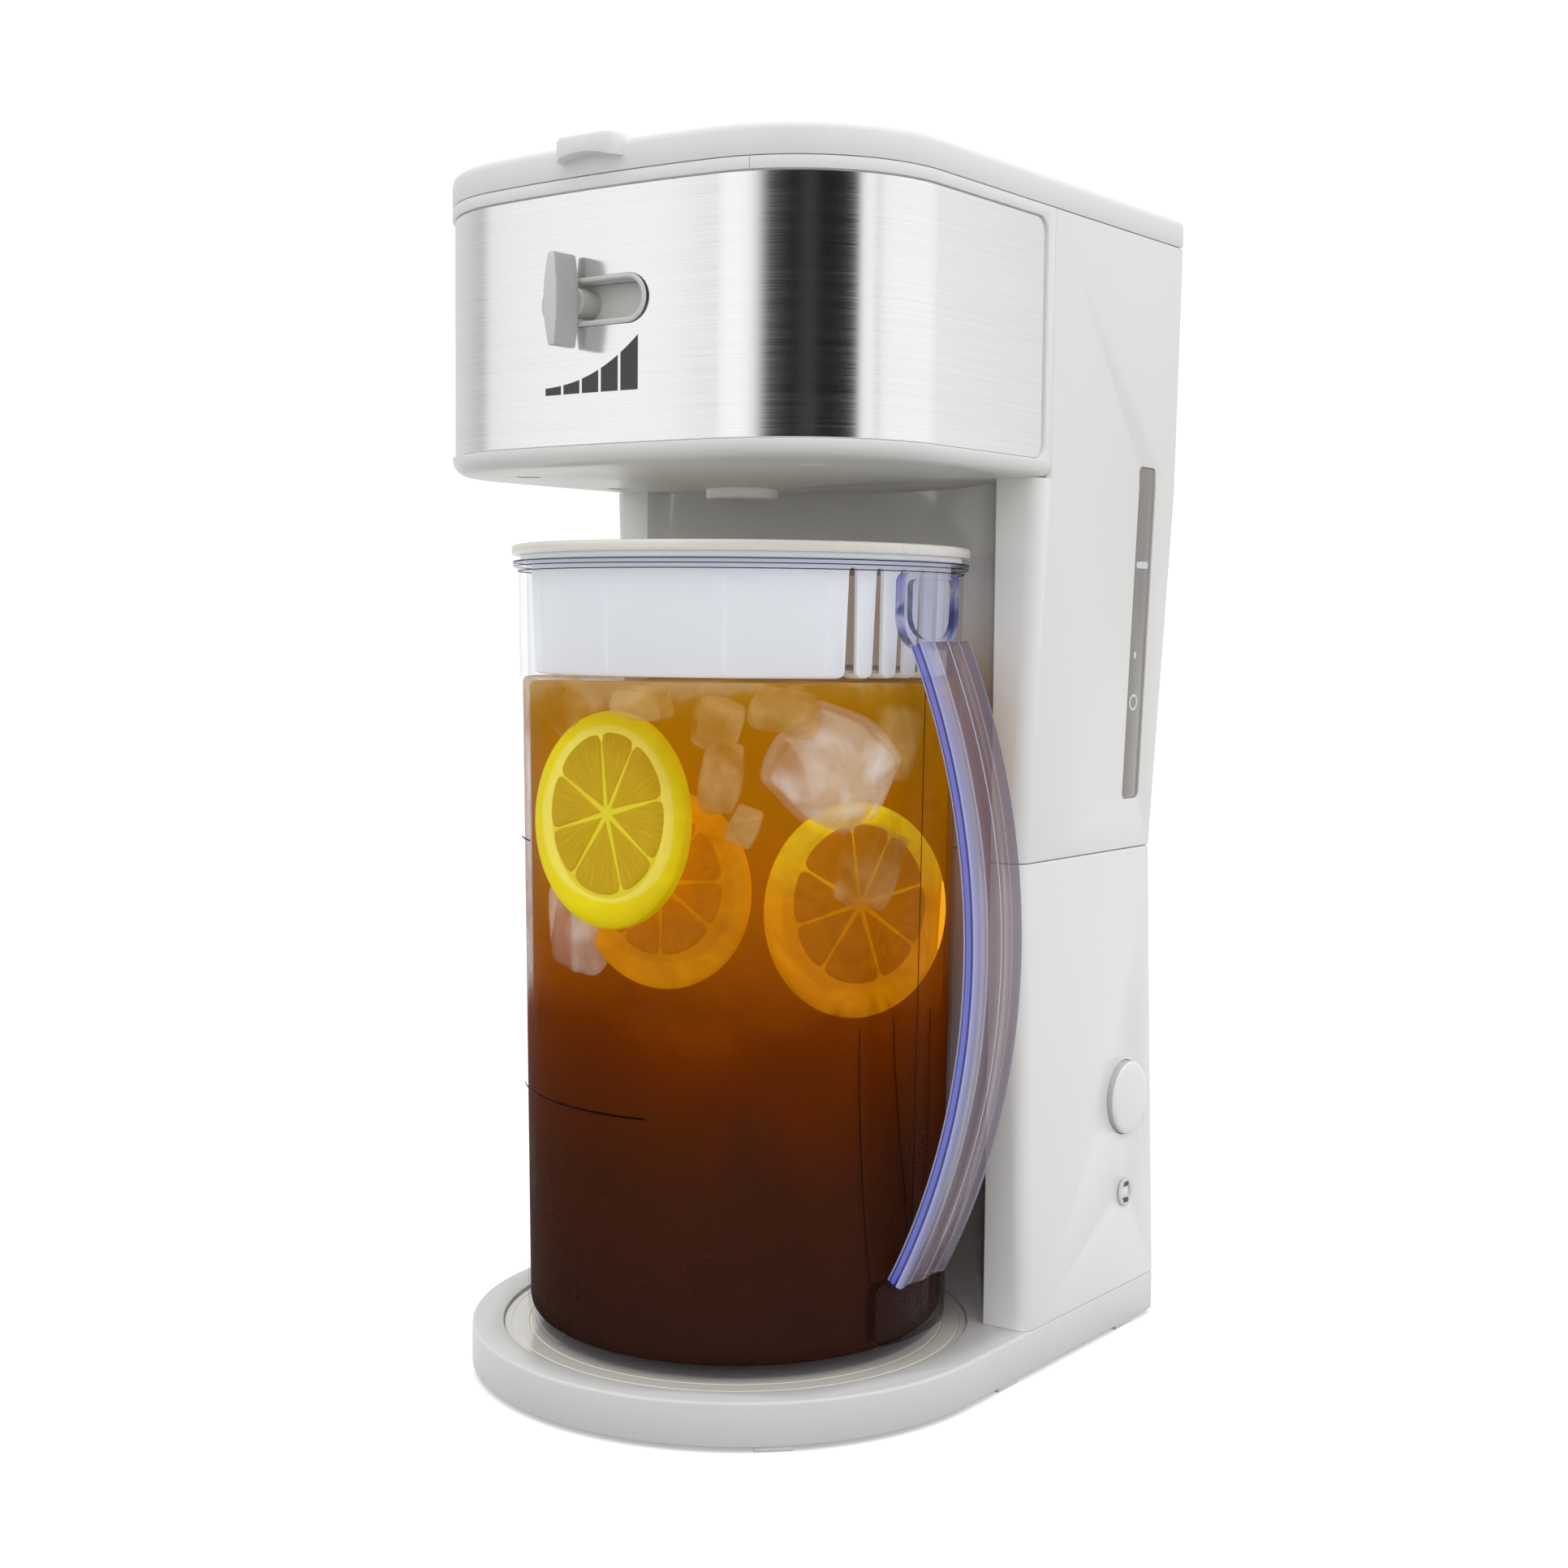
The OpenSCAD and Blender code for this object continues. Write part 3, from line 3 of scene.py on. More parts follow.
import json
import math
import bmesh
import bpy
from bpy.props import FloatProperty, FloatVectorProperty, IntProperty, PointerProperty
from bpy.types import Operator, Panel, PropertyGroup
from mathutils import Matrix, Vector


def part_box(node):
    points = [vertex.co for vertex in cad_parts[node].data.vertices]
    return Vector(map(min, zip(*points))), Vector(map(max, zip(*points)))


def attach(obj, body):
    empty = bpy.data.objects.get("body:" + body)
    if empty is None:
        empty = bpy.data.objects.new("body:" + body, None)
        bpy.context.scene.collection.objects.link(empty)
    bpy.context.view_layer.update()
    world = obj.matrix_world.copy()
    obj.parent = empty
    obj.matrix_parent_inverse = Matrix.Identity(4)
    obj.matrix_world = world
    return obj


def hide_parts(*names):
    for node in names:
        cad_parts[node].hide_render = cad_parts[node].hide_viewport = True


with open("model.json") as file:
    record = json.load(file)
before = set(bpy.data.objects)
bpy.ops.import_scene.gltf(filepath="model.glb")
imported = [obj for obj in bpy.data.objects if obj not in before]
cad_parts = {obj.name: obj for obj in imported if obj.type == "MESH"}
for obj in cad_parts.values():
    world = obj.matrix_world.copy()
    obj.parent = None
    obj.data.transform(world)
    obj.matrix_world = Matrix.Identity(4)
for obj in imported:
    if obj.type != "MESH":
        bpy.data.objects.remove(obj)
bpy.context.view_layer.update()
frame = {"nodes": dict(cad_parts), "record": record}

bl_info = {
    "name": "Iced tea maker",
    "version": (1, 0, 0),
    "blender": (4, 5, 0),
    "location": "3D View > Sidebar > Tea maker",
    "description": "Builds the visible pieces of an iced tea maker round its packed solids",
    "category": "Object",
}

MM = 0.001
BASE_LOW, BASE_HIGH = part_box("base_shell")
PITCHER_LOW, PITCHER_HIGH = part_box("pitcher_body")
# The pitcher's upright axis lies this many millimetres before the machine's middle
AXIS_Y = -24
# The machine's middle plane, and the point that its sizes are measured from
MID_X = (BASE_LOW.x + BASE_HIGH.x) / 2
MID_Y = (PITCHER_LOW.y + PITCHER_HIGH.y) / 2 - AXIS_Y * MM
# Heights in millimetres: the seam between the tower's mouldings, and the head's underside
WAIST_Z, HEAD_Z = 168.0, 291.5
# Middles of the controls in the right wall, as places along Y and Z in millimetres
BUTTON_AT = (84.8, 81.2)
LAMP_AT = (83.5, 48)
# The strength scale's left end, foot and length in millimetres
SCALE_LEFT, SCALE_FOOT, SCALE_LENGTH = -19.7, 312.7, 36.6
# The fitted camera: focal length and frame in the photograph's pixels, and its three turns
FOCAL_PIXELS, FRAME_PIXELS, SENSOR = 2682.284, 1932, 36
CAMERA_TURN, CAMERA_TIP, CAMERA_ROLL = 36.303, 4.105, 0.526


def spot(x, y, z):
    """A point of the machine, given in millimetres from its middle plane."""
    return Vector((MID_X + x * MM, MID_Y + y * MM, z * MM))


PITCHER_AXIS = spot(0, AXIS_Y, 0)


def round_spot(radius, angle, z, aside=0.0):
    """A point at a radius from the pitcher's axis, turned from +X and shifted sideways."""
    return spot(
        radius * math.cos(angle) - aside * math.sin(angle),
        AXIS_Y + radius * math.sin(angle) + aside * math.cos(angle),
        z,
    )


def from_axis(point):
    """The level way from the pitcher's axis to a point."""
    return Vector((point.x - PITCHER_AXIS.x, point.y - PITCHER_AXIS.y, 0))


def screen_colour(r, g, b):
    """A colour given as it looks on a screen, from 0 to 255."""
    return tuple(
        ((c / 255 + 0.055) / 1.055) ** 2.4 if c > 10 else c / 255 / 12.92 for c in (r, g, b)
    )


def length(name, text, value, low=0.0):
    return FloatProperty(name=name, description=text, default=value * MM, min=low, unit="LENGTH")


def colour(name, text, r, g, b):
    shade = screen_colour(r, g, b)
    return FloatVectorProperty(
        name=name, description=text, default=shade, subtype="COLOR", size=3, min=0, max=1
    )


def at_least_none(name, text, value, **more):
    return FloatProperty(name=name, description=text, default=value, min=0, **more)


class HeadSizes(PropertyGroup):
    width: length("Width", "Width of the head across its straight sides", 178)
    front: length("Front", "How far the head's front lies before the middle", 98)
    corner: length("Corner radius", "Radius of the head's front corners", 50)
    bow: length("Bow radius", "Radius of the head's bowed front", 420)
    back: length("Seam", "How far the casing reaches behind the middle", 21.8)
    foot: length("Foot", "Height of the head's underside", 291.5)
    rim: length("Rim", "Height of the rim under the tank lid", 376.2)
    edge: length("Lower edge", "Radius of the head's lower edge", 5)
    sink: length("Steel sink", "How far the steel lies below the casing's face", 0.85)
    steel: length("Steel gauge", "Thickness of the steel", 0.6)
    steel_foot: length("Steel foot", "Height of the steel's lower edge", 297.3)
    steel_height: length("Steel height", "Height of the steel", 75.1)
    steel_end: length("Steel end", "How far the steel's ends reach behind the middle", 17)
    steel_corner: length("Steel corners", "Radius of the steel's corners", 5)


class SliderSizes(PropertyGroup):
    height: length("Height", "Height of the strength slider", 339.5)
    slot: length("Slot length", "Length of the slot", 37.6)
    slot_width: length("Slot width", "Width of the slot", 11.2)
    bezel: length("Bezel", "Width of the bezel's flange", 1.6)
    knob_x: length("Knob", "Place of the knob from the middle", -6.75, low=-0.02)
    paddle: length("Paddle height", "Height of the knob's paddle", 27.4)
    paddle_width: length("Paddle width", "Width of the paddle at its middle", 5.6)
    paddle_depth: length("Paddle depth", "Depth of the paddle at its middle", 10.6)


class PitcherSizes(PropertyGroup):
    top: length("Top radius", "Outer radius of the pitcher near its rim", 72.3)
    foot: length("Foot radius", "Outer radius of the pitcher near its foot", 69.0)
    wall: length("Wall", "Wall of the pitcher", 2.6)
    corner: length("Foot corner", "Radius of the pitcher's lower corner", 7)
    height: length("Height", "Height of the pitcher", 249.8)
    reach: length("Handle reach", "How far the handle stands out from the pitcher's middle", 100.1)
    grip: length("Grip thickness", "Thickness of the grip", 5.5)
    grip_width: length("Grip width", "Width of the grip", 27)
    tea: length("Tea level", "Height of the tea above the worktop", 226.8)
    lemon: length("Lemon radius", "Radius of a lemon slice", 34)
    segments: IntProperty(
        name="Segments", description="Segments of a lemon slice", default=8, min=5, max=12
    )


class Finishes(PropertyGroup):
    body: colour("Body", "White moulded plastic", 251, 251, 249)
    base: colour("Base", "White of the base", 234, 234, 233)
    cream: colour("Cream", "Warm white of the pitcher's lid and the seat", 246, 243, 233)
    knob: colour("Knob", "Grey of the strength knob", 196, 196, 194)
    steel: colour("Steel", "Brushed steel", 244, 244, 244)
    print_ink: colour("Scale", "Ink of the strength scale", 62, 62, 64)
    window: colour("Window", "Smoked window", 152, 147, 143)
    handle: colour("Handle", "Tint of the clear handle", 150, 160, 250)
    rind: colour("Rind", "Lemon rind", 240, 222, 0)
    pith: colour("Pith", "Lemon pith", 248, 232, 92)
    pulp: colour("Pulp", "Lemon pulp", 210, 172, 0)


class StageSettings(PropertyGroup):
    floor: colour("Floor", "Floor and backdrop", 255, 255, 255)
    surround: at_least_none("Surround", "Strength of the white surround", 1.14)
    lift: at_least_none("Floor lift", "Light that the floor adds", 0.32)
    key: at_least_none("Key", "Power of the key light", 2.2, subtype="POWER")
    eye_x: length("Eye X", "Camera from the middle", 434.3, low=-2.0)
    eye_y: length("Eye Y", "Camera from the middle", -590.7, low=-2.0)
    eye_z: length("Eye Z", "Camera above the worktop", 243.3, low=-2.0)


# Modelling


def select_only(piece):
    bpy.ops.object.select_all(action="DESELECT")
    piece.select_set(True)
    bpy.context.view_layer.objects.active = piece


def edit(piece):
    select_only(piece)
    bpy.ops.object.mode_set(mode="EDIT")


def leave_edit():
    bpy.ops.object.mode_set(mode="OBJECT")


def first_ring(name, points):
    """Adds a circle with a corner for each point and moves the corners on to the points."""
    bpy.ops.object.select_all(action="DESELECT")
    bpy.ops.mesh.primitive_circle_add(vertices=len(points), radius=0.05, location=(0, 0, 0))
    piece = bpy.context.object
    piece.name = piece.data.name = name
    bpy.ops.object.mode_set(mode="EDIT")
    shape = bmesh.from_edit_mesh(piece.data)
    corner = shape.verts.layers.int.new("corner")
    level = shape.verts.layers.int.new("level")
    for i, vert in enumerate(shape.verts):
        vert[corner] = i
        vert[level] = 0
        vert.co = points[i]
    bpy.ops.mesh.select_all(action="SELECT")
    bmesh.update_edit_mesh(piece.data)
    return piece


def next_ring(piece, points, number):
    """Extrudes the selected ring and moves its corners on to the next points."""
    bpy.ops.mesh.extrude_region_move()
    shape = bmesh.from_edit_mesh(piece.data)
    corner = shape.verts.layers.int["corner"]
    level = shape.verts.layers.int["level"]
    for vert in shape.verts:
        if vert.select:
            vert.co = points[vert[corner]]
            vert[level] = number
    bmesh.update_edit_mesh(piece.data)


def loft(name, rings, closed=False, caps=(True, True)):
    """Extrudes a ring through all the others. A closed loft ends on its first ring."""
    piece = first_ring(name, rings[0])
    for number, ring in enumerate(rings[1:], 1):
        next_ring(piece, ring, number)
    last = len(rings) - 1
    if closed:
        next_ring(piece, rings[0], last + 1)
        bpy.ops.mesh.select_all(action="SELECT")
        bpy.ops.mesh.remove_doubles(threshold=1e-6)
    else:
        for number, wanted in ((0, caps[0]), (last, caps[1])):
            if not wanted:
                continue
            bpy.ops.mesh.select_all(action="DESELECT")
            shape = bmesh.from_edit_mesh(piece.data)
            level = shape.verts.layers.int["level"]
            for vert in shape.verts:
                vert.select = vert[level] == number
            shape.select_flush(True)
            bmesh.update_edit_mesh(piece.data)
            bpy.ops.mesh.edge_face_add()
    bpy.ops.mesh.select_all(action="SELECT")
    bpy.ops.mesh.normals_make_consistent(inside=False)
    leave_edit()
    return piece


def turn(name, profile, centre, steps=128, closed=False, caps=(True, True)):
    """Turns a profile of (radius, height) pairs in millimetres about an upright axis."""
    rings = []
    for radius, height in profile:
        rings.append(
            [
                centre
                + Vector(
                    (
                        radius * MM * math.cos(2 * math.pi * k / steps),
                        radius * MM * math.sin(2 * math.pi * k / steps),
                        height * MM,
                    )
                )
                for k in range(steps)
            ]
        )
    return loft(name, rings, closed, caps)


def turn_sideways(name, profile, centre, steps=96, closed=False):
    """Turns a profile about an axis that looks to the right, out of the machine's side."""
    piece = turn(name, profile, Vector((0, 0, 0)), steps, closed)
    piece.data.transform(Matrix.Translation(centre) @ Matrix.Rotation(math.pi / 2, 4, "Y"))
    return piece


def carve(piece, tool, how="DIFFERENCE"):
    select_only(piece)
    step = piece.modifiers.new("carve", "BOOLEAN")
    step.operation = how
    step.object = tool
    step.solver = "EXACT"
    bpy.ops.object.modifier_apply(modifier=step.name)
    bpy.data.objects.remove(tool)
    return piece


def soften(piece, width, segments=2, angle=40):
    """Rounds the sharp edges of a piece."""
    select_only(piece)
    step = piece.modifiers.new("soften", "BEVEL")
    step.width = width * MM
    step.segments = segments
    step.limit_method = "ANGLE"
    step.angle_limit = math.radians(angle)
    step.use_clamp_overlap = True
    bpy.ops.object.modifier_apply(modifier=step.name)


def tidy(piece, merge=1e-6, outward=False, flat=0.0):
    edit(piece)
    bpy.ops.mesh.select_all(action="SELECT")
    bpy.ops.mesh.remove_doubles(threshold=merge)
    if flat:
        bpy.ops.mesh.dissolve_limited(angle_limit=math.radians(flat))
    if outward:
        bpy.ops.mesh.select_all(action="SELECT")
        bpy.ops.mesh.normals_make_consistent(inside=False)
    leave_edit()


def finish_piece(piece, body, material, angle=38, stands_for=()):
    """Shades a piece, gives it its finish and lets it ride on its body."""
    select_only(piece)
    bpy.ops.object.shade_smooth_by_angle(angle=math.radians(angle))
    for layer in ("corner", "level"):
        if layer in piece.data.attributes:
            piece.data.attributes.remove(piece.data.attributes[layer])
    piece.data.materials.clear()
    piece.data.materials.append(material)
    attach(piece, body)
    if stands_for:
        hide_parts(*stands_for)
    return piece


def second_finish(piece, material, chosen):
    """Gives the faces that chosen picks another finish."""
    piece.data.materials.append(material)
    for face in piece.data.polygons:
        if chosen(face):
            face.material_index = 1


def moulded_copy(node, name, body, slot, material, width=0.35, angle=36):
    """A copy of a solid with its mesh joined up and its sharp edges rounded, as a moulding has."""
    source = frame["nodes"][node]
    piece = bpy.data.objects.new(name, source.data.copy())
    piece.data.name = name
    bpy.context.scene.collection.objects.link(piece)
    tidy(piece, merge=2e-6, flat=0.6)
    if width:
        soften(piece, width, 2, angle)
    return finish_piece(piece, body, material, angle, (node,))


def arc(cx, cy, radius, a0, a1, steps, skip=0):
    """Points of an arc from a0 to a1 degrees, without as many at its start as skip says."""
    turns = [math.radians(a0 + (a1 - a0) * i / steps) for i in range(skip, steps + 1)]
    return [(cx + radius * math.cos(a), cy + radius * math.sin(a)) for a in turns]


# The corners of a rectangle, in the order of the quarters of a turn
CORNERS = ((1, 1), (-1, 1), (-1, -1), (1, -1))


def rounded_outline(length_, width, radius, steps=10):
    """A rectangle with round corners, as points about its middle, in millimetres."""
    points = []
    for k, (sx, sy) in enumerate(CORNERS):
        x, y = sx * (length_ / 2 - radius), sy * (width / 2 - radius)
        points += arc(x, y, radius, 90 * k, 90 * k + 90, steps)
    return points


def slot_outline(length_, width, steps=24):
    """A slot with round ends, as points about its middle, in millimetres."""
    x, radius = (length_ - width) / 2, width / 2
    return arc(x, 0, radius, -90, 90, steps) + arc(-x, 0, radius, 90, 270, steps)


def head_outline(inset=0.0, back=None, rear=0.6):
    """The head's plan in millimetres, with its bowed front, inset from the casing's face."""
    sizes = bpy.context.scene.tea_head
    half = sizes.width / MM / 2
    corner = sizes.corner / MM
    bow = sizes.bow / MM
    back = sizes.back / MM if back is None else back
    bow_y = bow - sizes.front / MM
    centre_x = half - corner
    drop = math.sqrt((bow - corner) ** 2 - centre_x**2)
    centre_y = bow_y - drop
    turn_angle = math.degrees(math.atan(centre_x / drop))
    rear = max(rear - inset, 0.3)

    right = half - inset - rear
    return (
        arc(0, bow_y, bow - inset, -90 - turn_angle, -90 + turn_angle, 40)
        + arc(centre_x, centre_y, corner - inset, -90 + turn_angle, 0, 36, 1)
        + arc(right, back - rear, rear, 0, 90, 6)
        + arc(-right, back - rear, rear, 90, 180, 6)
        + arc(-centre_x, centre_y, corner - inset, 180, 270 - turn_angle, 36)[:-1]
    )


def level_ring(outline, height):
    return [spot(x, y, height) for x, y in outline]


def side_prism(name, outline, x0, x1):
    """A prism along X from an outline in Y and Z, used for cutting."""
    return loft(name, [[spot(x, y, z) for y, z in outline] for x in (x0, x1)])


def front_prism(name, outline, y0, y1):
    """A prism along Y from an outline in X and Z, used for cutting."""
    return loft(name, [[spot(x, y, z) for x, z in outline] for y in (y0, y1)])


# Finishes


def new_finish(name):
    material = bpy.data.materials.new(name)
    material.use_nodes = True
    tree = material.node_tree
    return material, tree, tree.nodes["Principled BSDF"]


def add_node(tree, kind, **values):
    node = tree.nodes.new(kind)
    for key, value in values.items():
        if hasattr(node, key):
            setattr(node, key, value)
        else:
            node.inputs[key.replace("_", " ")].default_value = value
    return node


def place_on_piece(tree, scale=(1, 1, 1), shift=(0, 0, 0)):
    """Object coordinates, stretched by scale."""
    where = add_node(tree, "ShaderNodeTexCoord")
    mapping = add_node(tree, "ShaderNodeMapping")
    mapping.inputs["Scale"].default_value = scale
    mapping.inputs["Location"].default_value = shift
    tree.links.new(where.outputs["Object"], mapping.inputs["Vector"])
    return mapping.outputs["Vector"]


def feed(tree, node, values):
    """Gives inputs of a node an output to read, a plain colour, or a fixed value."""
    for key, value in values.items():
        socket = node.inputs[key]
        if hasattr(value, "is_output"):
            tree.links.new(value, socket)
        elif socket.type == "RGBA":
            socket.default_value = (*value[:3], 1)
        else:
            socket.default_value = value


def cloud(tree, vector, scale, detail=3.0, rough=0.5, distortion=0.0):
    node = add_node(tree, "ShaderNodeTexNoise")
    values = {"Scale": scale, "Detail": detail, "Roughness": rough, "Distortion": distortion}
    feed(tree, node, {"Vector": vector, **values})
    return node.outputs["Fac"]


def remap(tree, value, a0, a1, b0, b1):
    node = add_node(tree, "ShaderNodeMapRange")
    ends = {"From Min": a0, "From Max": a1, "To Min": b0, "To Max": b1}
    feed(tree, node, {"Value": value, **ends})
    return node.outputs["Result"]


def blend_colours(tree, factor, a, b):
    node = add_node(tree, "ShaderNodeMix", data_type="RGBA")
    feed(tree, node, {0: factor, 6: a, 7: b})
    return node.outputs[2]


def sums(tree, kind, *values):
    node = add_node(tree, "ShaderNodeMath", operation=kind)
    feed(tree, node, dict(enumerate(values)))
    return node.outputs[0]


def bumps(tree, height, strength, depth):
    """A normal that follows a height, given in millimetres."""
    bump = add_node(tree, "ShaderNodeBump")
    feed(tree, bump, {"Strength": strength, "Distance": depth * MM, "Height": height})
    return bump.outputs["Normal"]


def scaled(base, amount):
    return tuple(min(1.0, c * amount) for c in base)


PLASTIC_IOR = 1.49


def moulded_plastic(name, base, gloss=0.34, grain=1400, depth=0.02, mottle=0.03, flow=30, coat=0.0):
    """Moulded plastic: a very fine grain, faint flow marks, and a gloss that varies a little."""
    material, tree, shader = new_finish(name)
    where = place_on_piece(tree)
    streak = place_on_piece(tree, (1, 1, 0.35))
    flow_marks = cloud(tree, streak, flow, 4, 0.6, 0.4)
    fine = cloud(tree, where, grain, 2, 0.6)
    wide = cloud(tree, where, grain / 60, 3, 0.55)
    tint = blend_colours(tree, flow_marks, scaled(base, 1 - mottle), scaled(base, 1 + mottle / 3))
    looks = {
        "Base Color": tint,
        "Roughness": remap(tree, wide, 0.3, 0.7, gloss - 0.05, gloss + 0.06),
        "Normal": bumps(tree, sums(tree, "MULTIPLY_ADD", fine, 0.5, wide), 0.25, depth),
        "IOR": PLASTIC_IOR,
    }
    if coat:
        looks.update({"Coat Weight": coat, "Coat Roughness": 0.12})
    feed(tree, shader, looks)
    return material


def frosted_plastic(name, base, light):
    """Milky plastic with a painted glow in its own colour, for the light that it passes on."""
    material = moulded_plastic(name, base, 0.42, 1100, 0.02)
    tree = material.node_tree
    feed(tree, tree.nodes["Principled BSDF"], {"Emission Color": base, "Emission Strength": light})
    return material


def brushed_steel(name, base):
    """Stainless steel brushed from side to side: fine level scratches and a stretched gloss."""
    material, tree, shader = new_finish(name)
    scratches = cloud(tree, place_on_piece(tree, (9, 9, 2600)), 1.0, 4, 0.7)
    hairs = cloud(tree, place_on_piece(tree, (30, 30, 6400), (3, 7, 1)), 1.0, 2, 0.6)
    clouds = cloud(tree, place_on_piece(tree, (2.2, 2.2, 3.5)), 9.0, 3, 0.55)
    both = sums(tree, "MULTIPLY_ADD", hairs, 0.6, scratches)
    tint = blend_colours(
        tree, remap(tree, both, 0.5, 1.1, 0, 1), scaled(base, 0.90), scaled(base, 1.04)
    )
    tint = blend_colours(tree, remap(tree, clouds, 0.35, 0.65, 0, 0.10), tint, scaled(base, 0.86))
    tangent = add_node(tree, "ShaderNodeTangent", direction_type="RADIAL", axis="Z")
    looks = {
        "Base Color": tint,
        "Roughness": remap(tree, both, 0.5, 1.1, 0.10, 0.19),
        "Metallic": 1.0,
        "Anisotropic": 0.75,
        "Tangent": tangent.outputs["Tangent"],
        "Normal": bumps(tree, both, 0.16, 0.006),
    }
    feed(tree, shader, looks)
    return material


def speckled(name, base, grain, tones, rough, relief=None, stretch=(1, 1, 1), cloudy=(3, 0.6)):
    """A plain finish whose tone, gloss and relief all follow one fine grain."""
    material, tree, shader = new_finish(name)
    marks = cloud(tree, place_on_piece(tree, stretch), grain, *cloudy)
    darker, lighter = (scaled(base, tone) for tone in tones)
    looks = {
        "Base Color": blend_colours(tree, marks, darker, lighter),
        "Roughness": remap(tree, marks, 0.3, 0.7, *rough),
    }
    if relief:
        looks["Normal"] = bumps(tree, marks, *relief)
    feed(tree, shader, looks)
    return material


def plain_metal(name, base, rough=0.32, streaks=260):
    """Plated or drawn metal with faint drawing marks."""
    rough = (rough - 0.07, rough + 0.1)
    material = speckled(name, base, streaks, (0.86, 1.08), rough, (0.2, 0.02), (1, 1, 9))
    material.node_tree.nodes["Principled BSDF"].inputs["Metallic"].default_value = 1.0
    return material


def soft_rubber(name, base):
    return speckled(name, base, 900, (0.8, 1.2), (0.55, 0.75), (0.3, 0.03))


def smoked_window(name, base):
    looks = ((0.88, 1.08), (0.10, 0.2), (0.15, 0.02), (1, 1, 0.05), (3, 0.5))
    return speckled(name, base, 240, *looks)


def ink(name, base):
    return speckled(name, base, 1800, (0.8, 1.15), (0.4, 0.55), cloudy=(2, 0.5))


def see_through(name, tint, sheen=0.05, shine_share=0.22, edge=0.5, wave=0.008):
    """Clear moulded plastic: what is behind shows straight through, and its edges are denser."""
    material, tree, shader = new_finish(name)
    tree.nodes.remove(shader)
    ripple = cloud(tree, place_on_piece(tree, (1, 1, 0.4)), 55, 3, 0.5)
    normal = bumps(tree, ripple, 0.25, wave)
    layer = add_node(tree, "ShaderNodeLayerWeight")
    feed(tree, layer, {"Blend": 0.35, "Normal": normal})
    facing = layer.outputs["Facing"]
    dense = sums(tree, "POWER", remap(tree, facing, 0.0, 1.0, 0.0, 1.0), 3.0)
    tone = blend_colours(tree, dense, tint, scaled(tint, 1 - edge * 0.5))
    clear = add_node(tree, "ShaderNodeBsdfTransparent")
    feed(tree, clear, {"Color": tone})
    shine = add_node(tree, "ShaderNodeBsdfGlossy")
    feed(tree, shine, {"Roughness": sheen, "Color": (1, 1, 1), "Normal": normal})
    share = sums(tree, "MULTIPLY_ADD", sums(tree, "POWER", facing, 4.5), shine_share, 0.002)
    mix = add_node(tree, "ShaderNodeMixShader")
    feed(tree, mix, {0: share, 1: clear.outputs["BSDF"], 2: shine.outputs["BSDF"]})
    feed(tree, tree.nodes["Material Output"], {"Surface": mix.outputs["Shader"]})
    return material


def tinted_glass(name, tint, density=60.0):
    """Thick clear plastic whose colour deepens with the way that light goes through it."""
    material, tree, shader = new_finish(name)
    ripple = cloud(tree, place_on_piece(tree), 120, 2, 0.5)
    looks = {
        "Base Color": (1, 1, 1),
        "Roughness": remap(tree, ripple, 0.3, 0.7, 0.0, 0.05),
        "Transmission Weight": 1.0,
        "IOR": PLASTIC_IOR,
        "Normal": bumps(tree, ripple, 0.2, 0.01),
    }
    feed(tree, shader, looks)
    inside = add_node(tree, "ShaderNodeVolumeAbsorption")
    feed(tree, inside, {"Color": tint, "Density": density})
    feed(tree, tree.nodes["Material Output"], {"Volume": inside.outputs["Volume"]})
    return material


def height_of(tree):
    """Height above the worktop, in metres."""
    where = add_node(tree, "ShaderNodeTexCoord")
    split = add_node(tree, "ShaderNodeSeparateXYZ")
    tree.links.new(where.outputs["Object"], split.inputs["Vector"])
    return split.outputs["Z"]


def ramp(tree, factor, stops):
    node = add_node(tree, "ShaderNodeValToRGB")
    band = node.color_ramp
    while len(band.elements) < len(stops):
        band.elements.new(0.5)
    for element, (place, shade) in zip(band.elements, stops):
        element.position = place
        element.color = (*shade, 1) if len(shade) == 3 else shade
    tree.links.new(factor, node.inputs["Fac"])
    return node.outputs["Color"]


# Tea by height: its colours on a screen, from the pitcher's floor up to its surface
TEA_FLOOR, TEA_SURFACE = 0.018, 0.2268
TEA_STOPS = (
    (0.00, (46, 26, 20)),
    (0.28, (66, 30, 14)),
    (0.40, (92, 36, 4)),
    (0.48, (110, 44, 0)),
    (0.56, (140, 68, 0)),
    (0.68, (156, 92, 0)),
    (0.85, (166, 106, 0)),
    (0.95, (168, 114, 0)),
    (0.985, (176, 128, 30)),
    (1.00, (196, 160, 104)),
)


def tea_colour(tree):
    """Tea that darkens downwards, with slow swirls."""
    swirl = cloud(tree, place_on_piece(tree, (1, 1, 0.7)), 26, 4, 0.55, 0.8)
    level = remap(tree, height_of(tree), TEA_FLOOR, TEA_SURFACE, 0, 1)
    level = sums(tree, "ADD", level, remap(tree, swirl, 0.2, 0.8, -0.05, 0.05))
    return ramp(tree, level, [(p, screen_colour(*c)) for p, c in TEA_STOPS]), level


def matte(tree, shader, shade, light, rough, shine=0.0, **more):
    """A dull surface with a painted glow in its own colour, standing for light that passes on from
    behind.
    """
    looks = {
        "Base Color": shade,
        "Emission Color": shade,
        "Emission Strength": light,
        "Roughness": rough,
        "Specular IOR Level": shine,
    }
    feed(tree, shader, {**looks, **more})


def tea_heart(name):
    """The dense tea in the pitcher's middle."""
    material, tree, shader = new_finish(name)
    shade, _ = tea_colour(tree)
    # Painted glow: the tea shines a little in its own colour
    matte(tree, shader, shade, 0.48, 0.7)
    return material


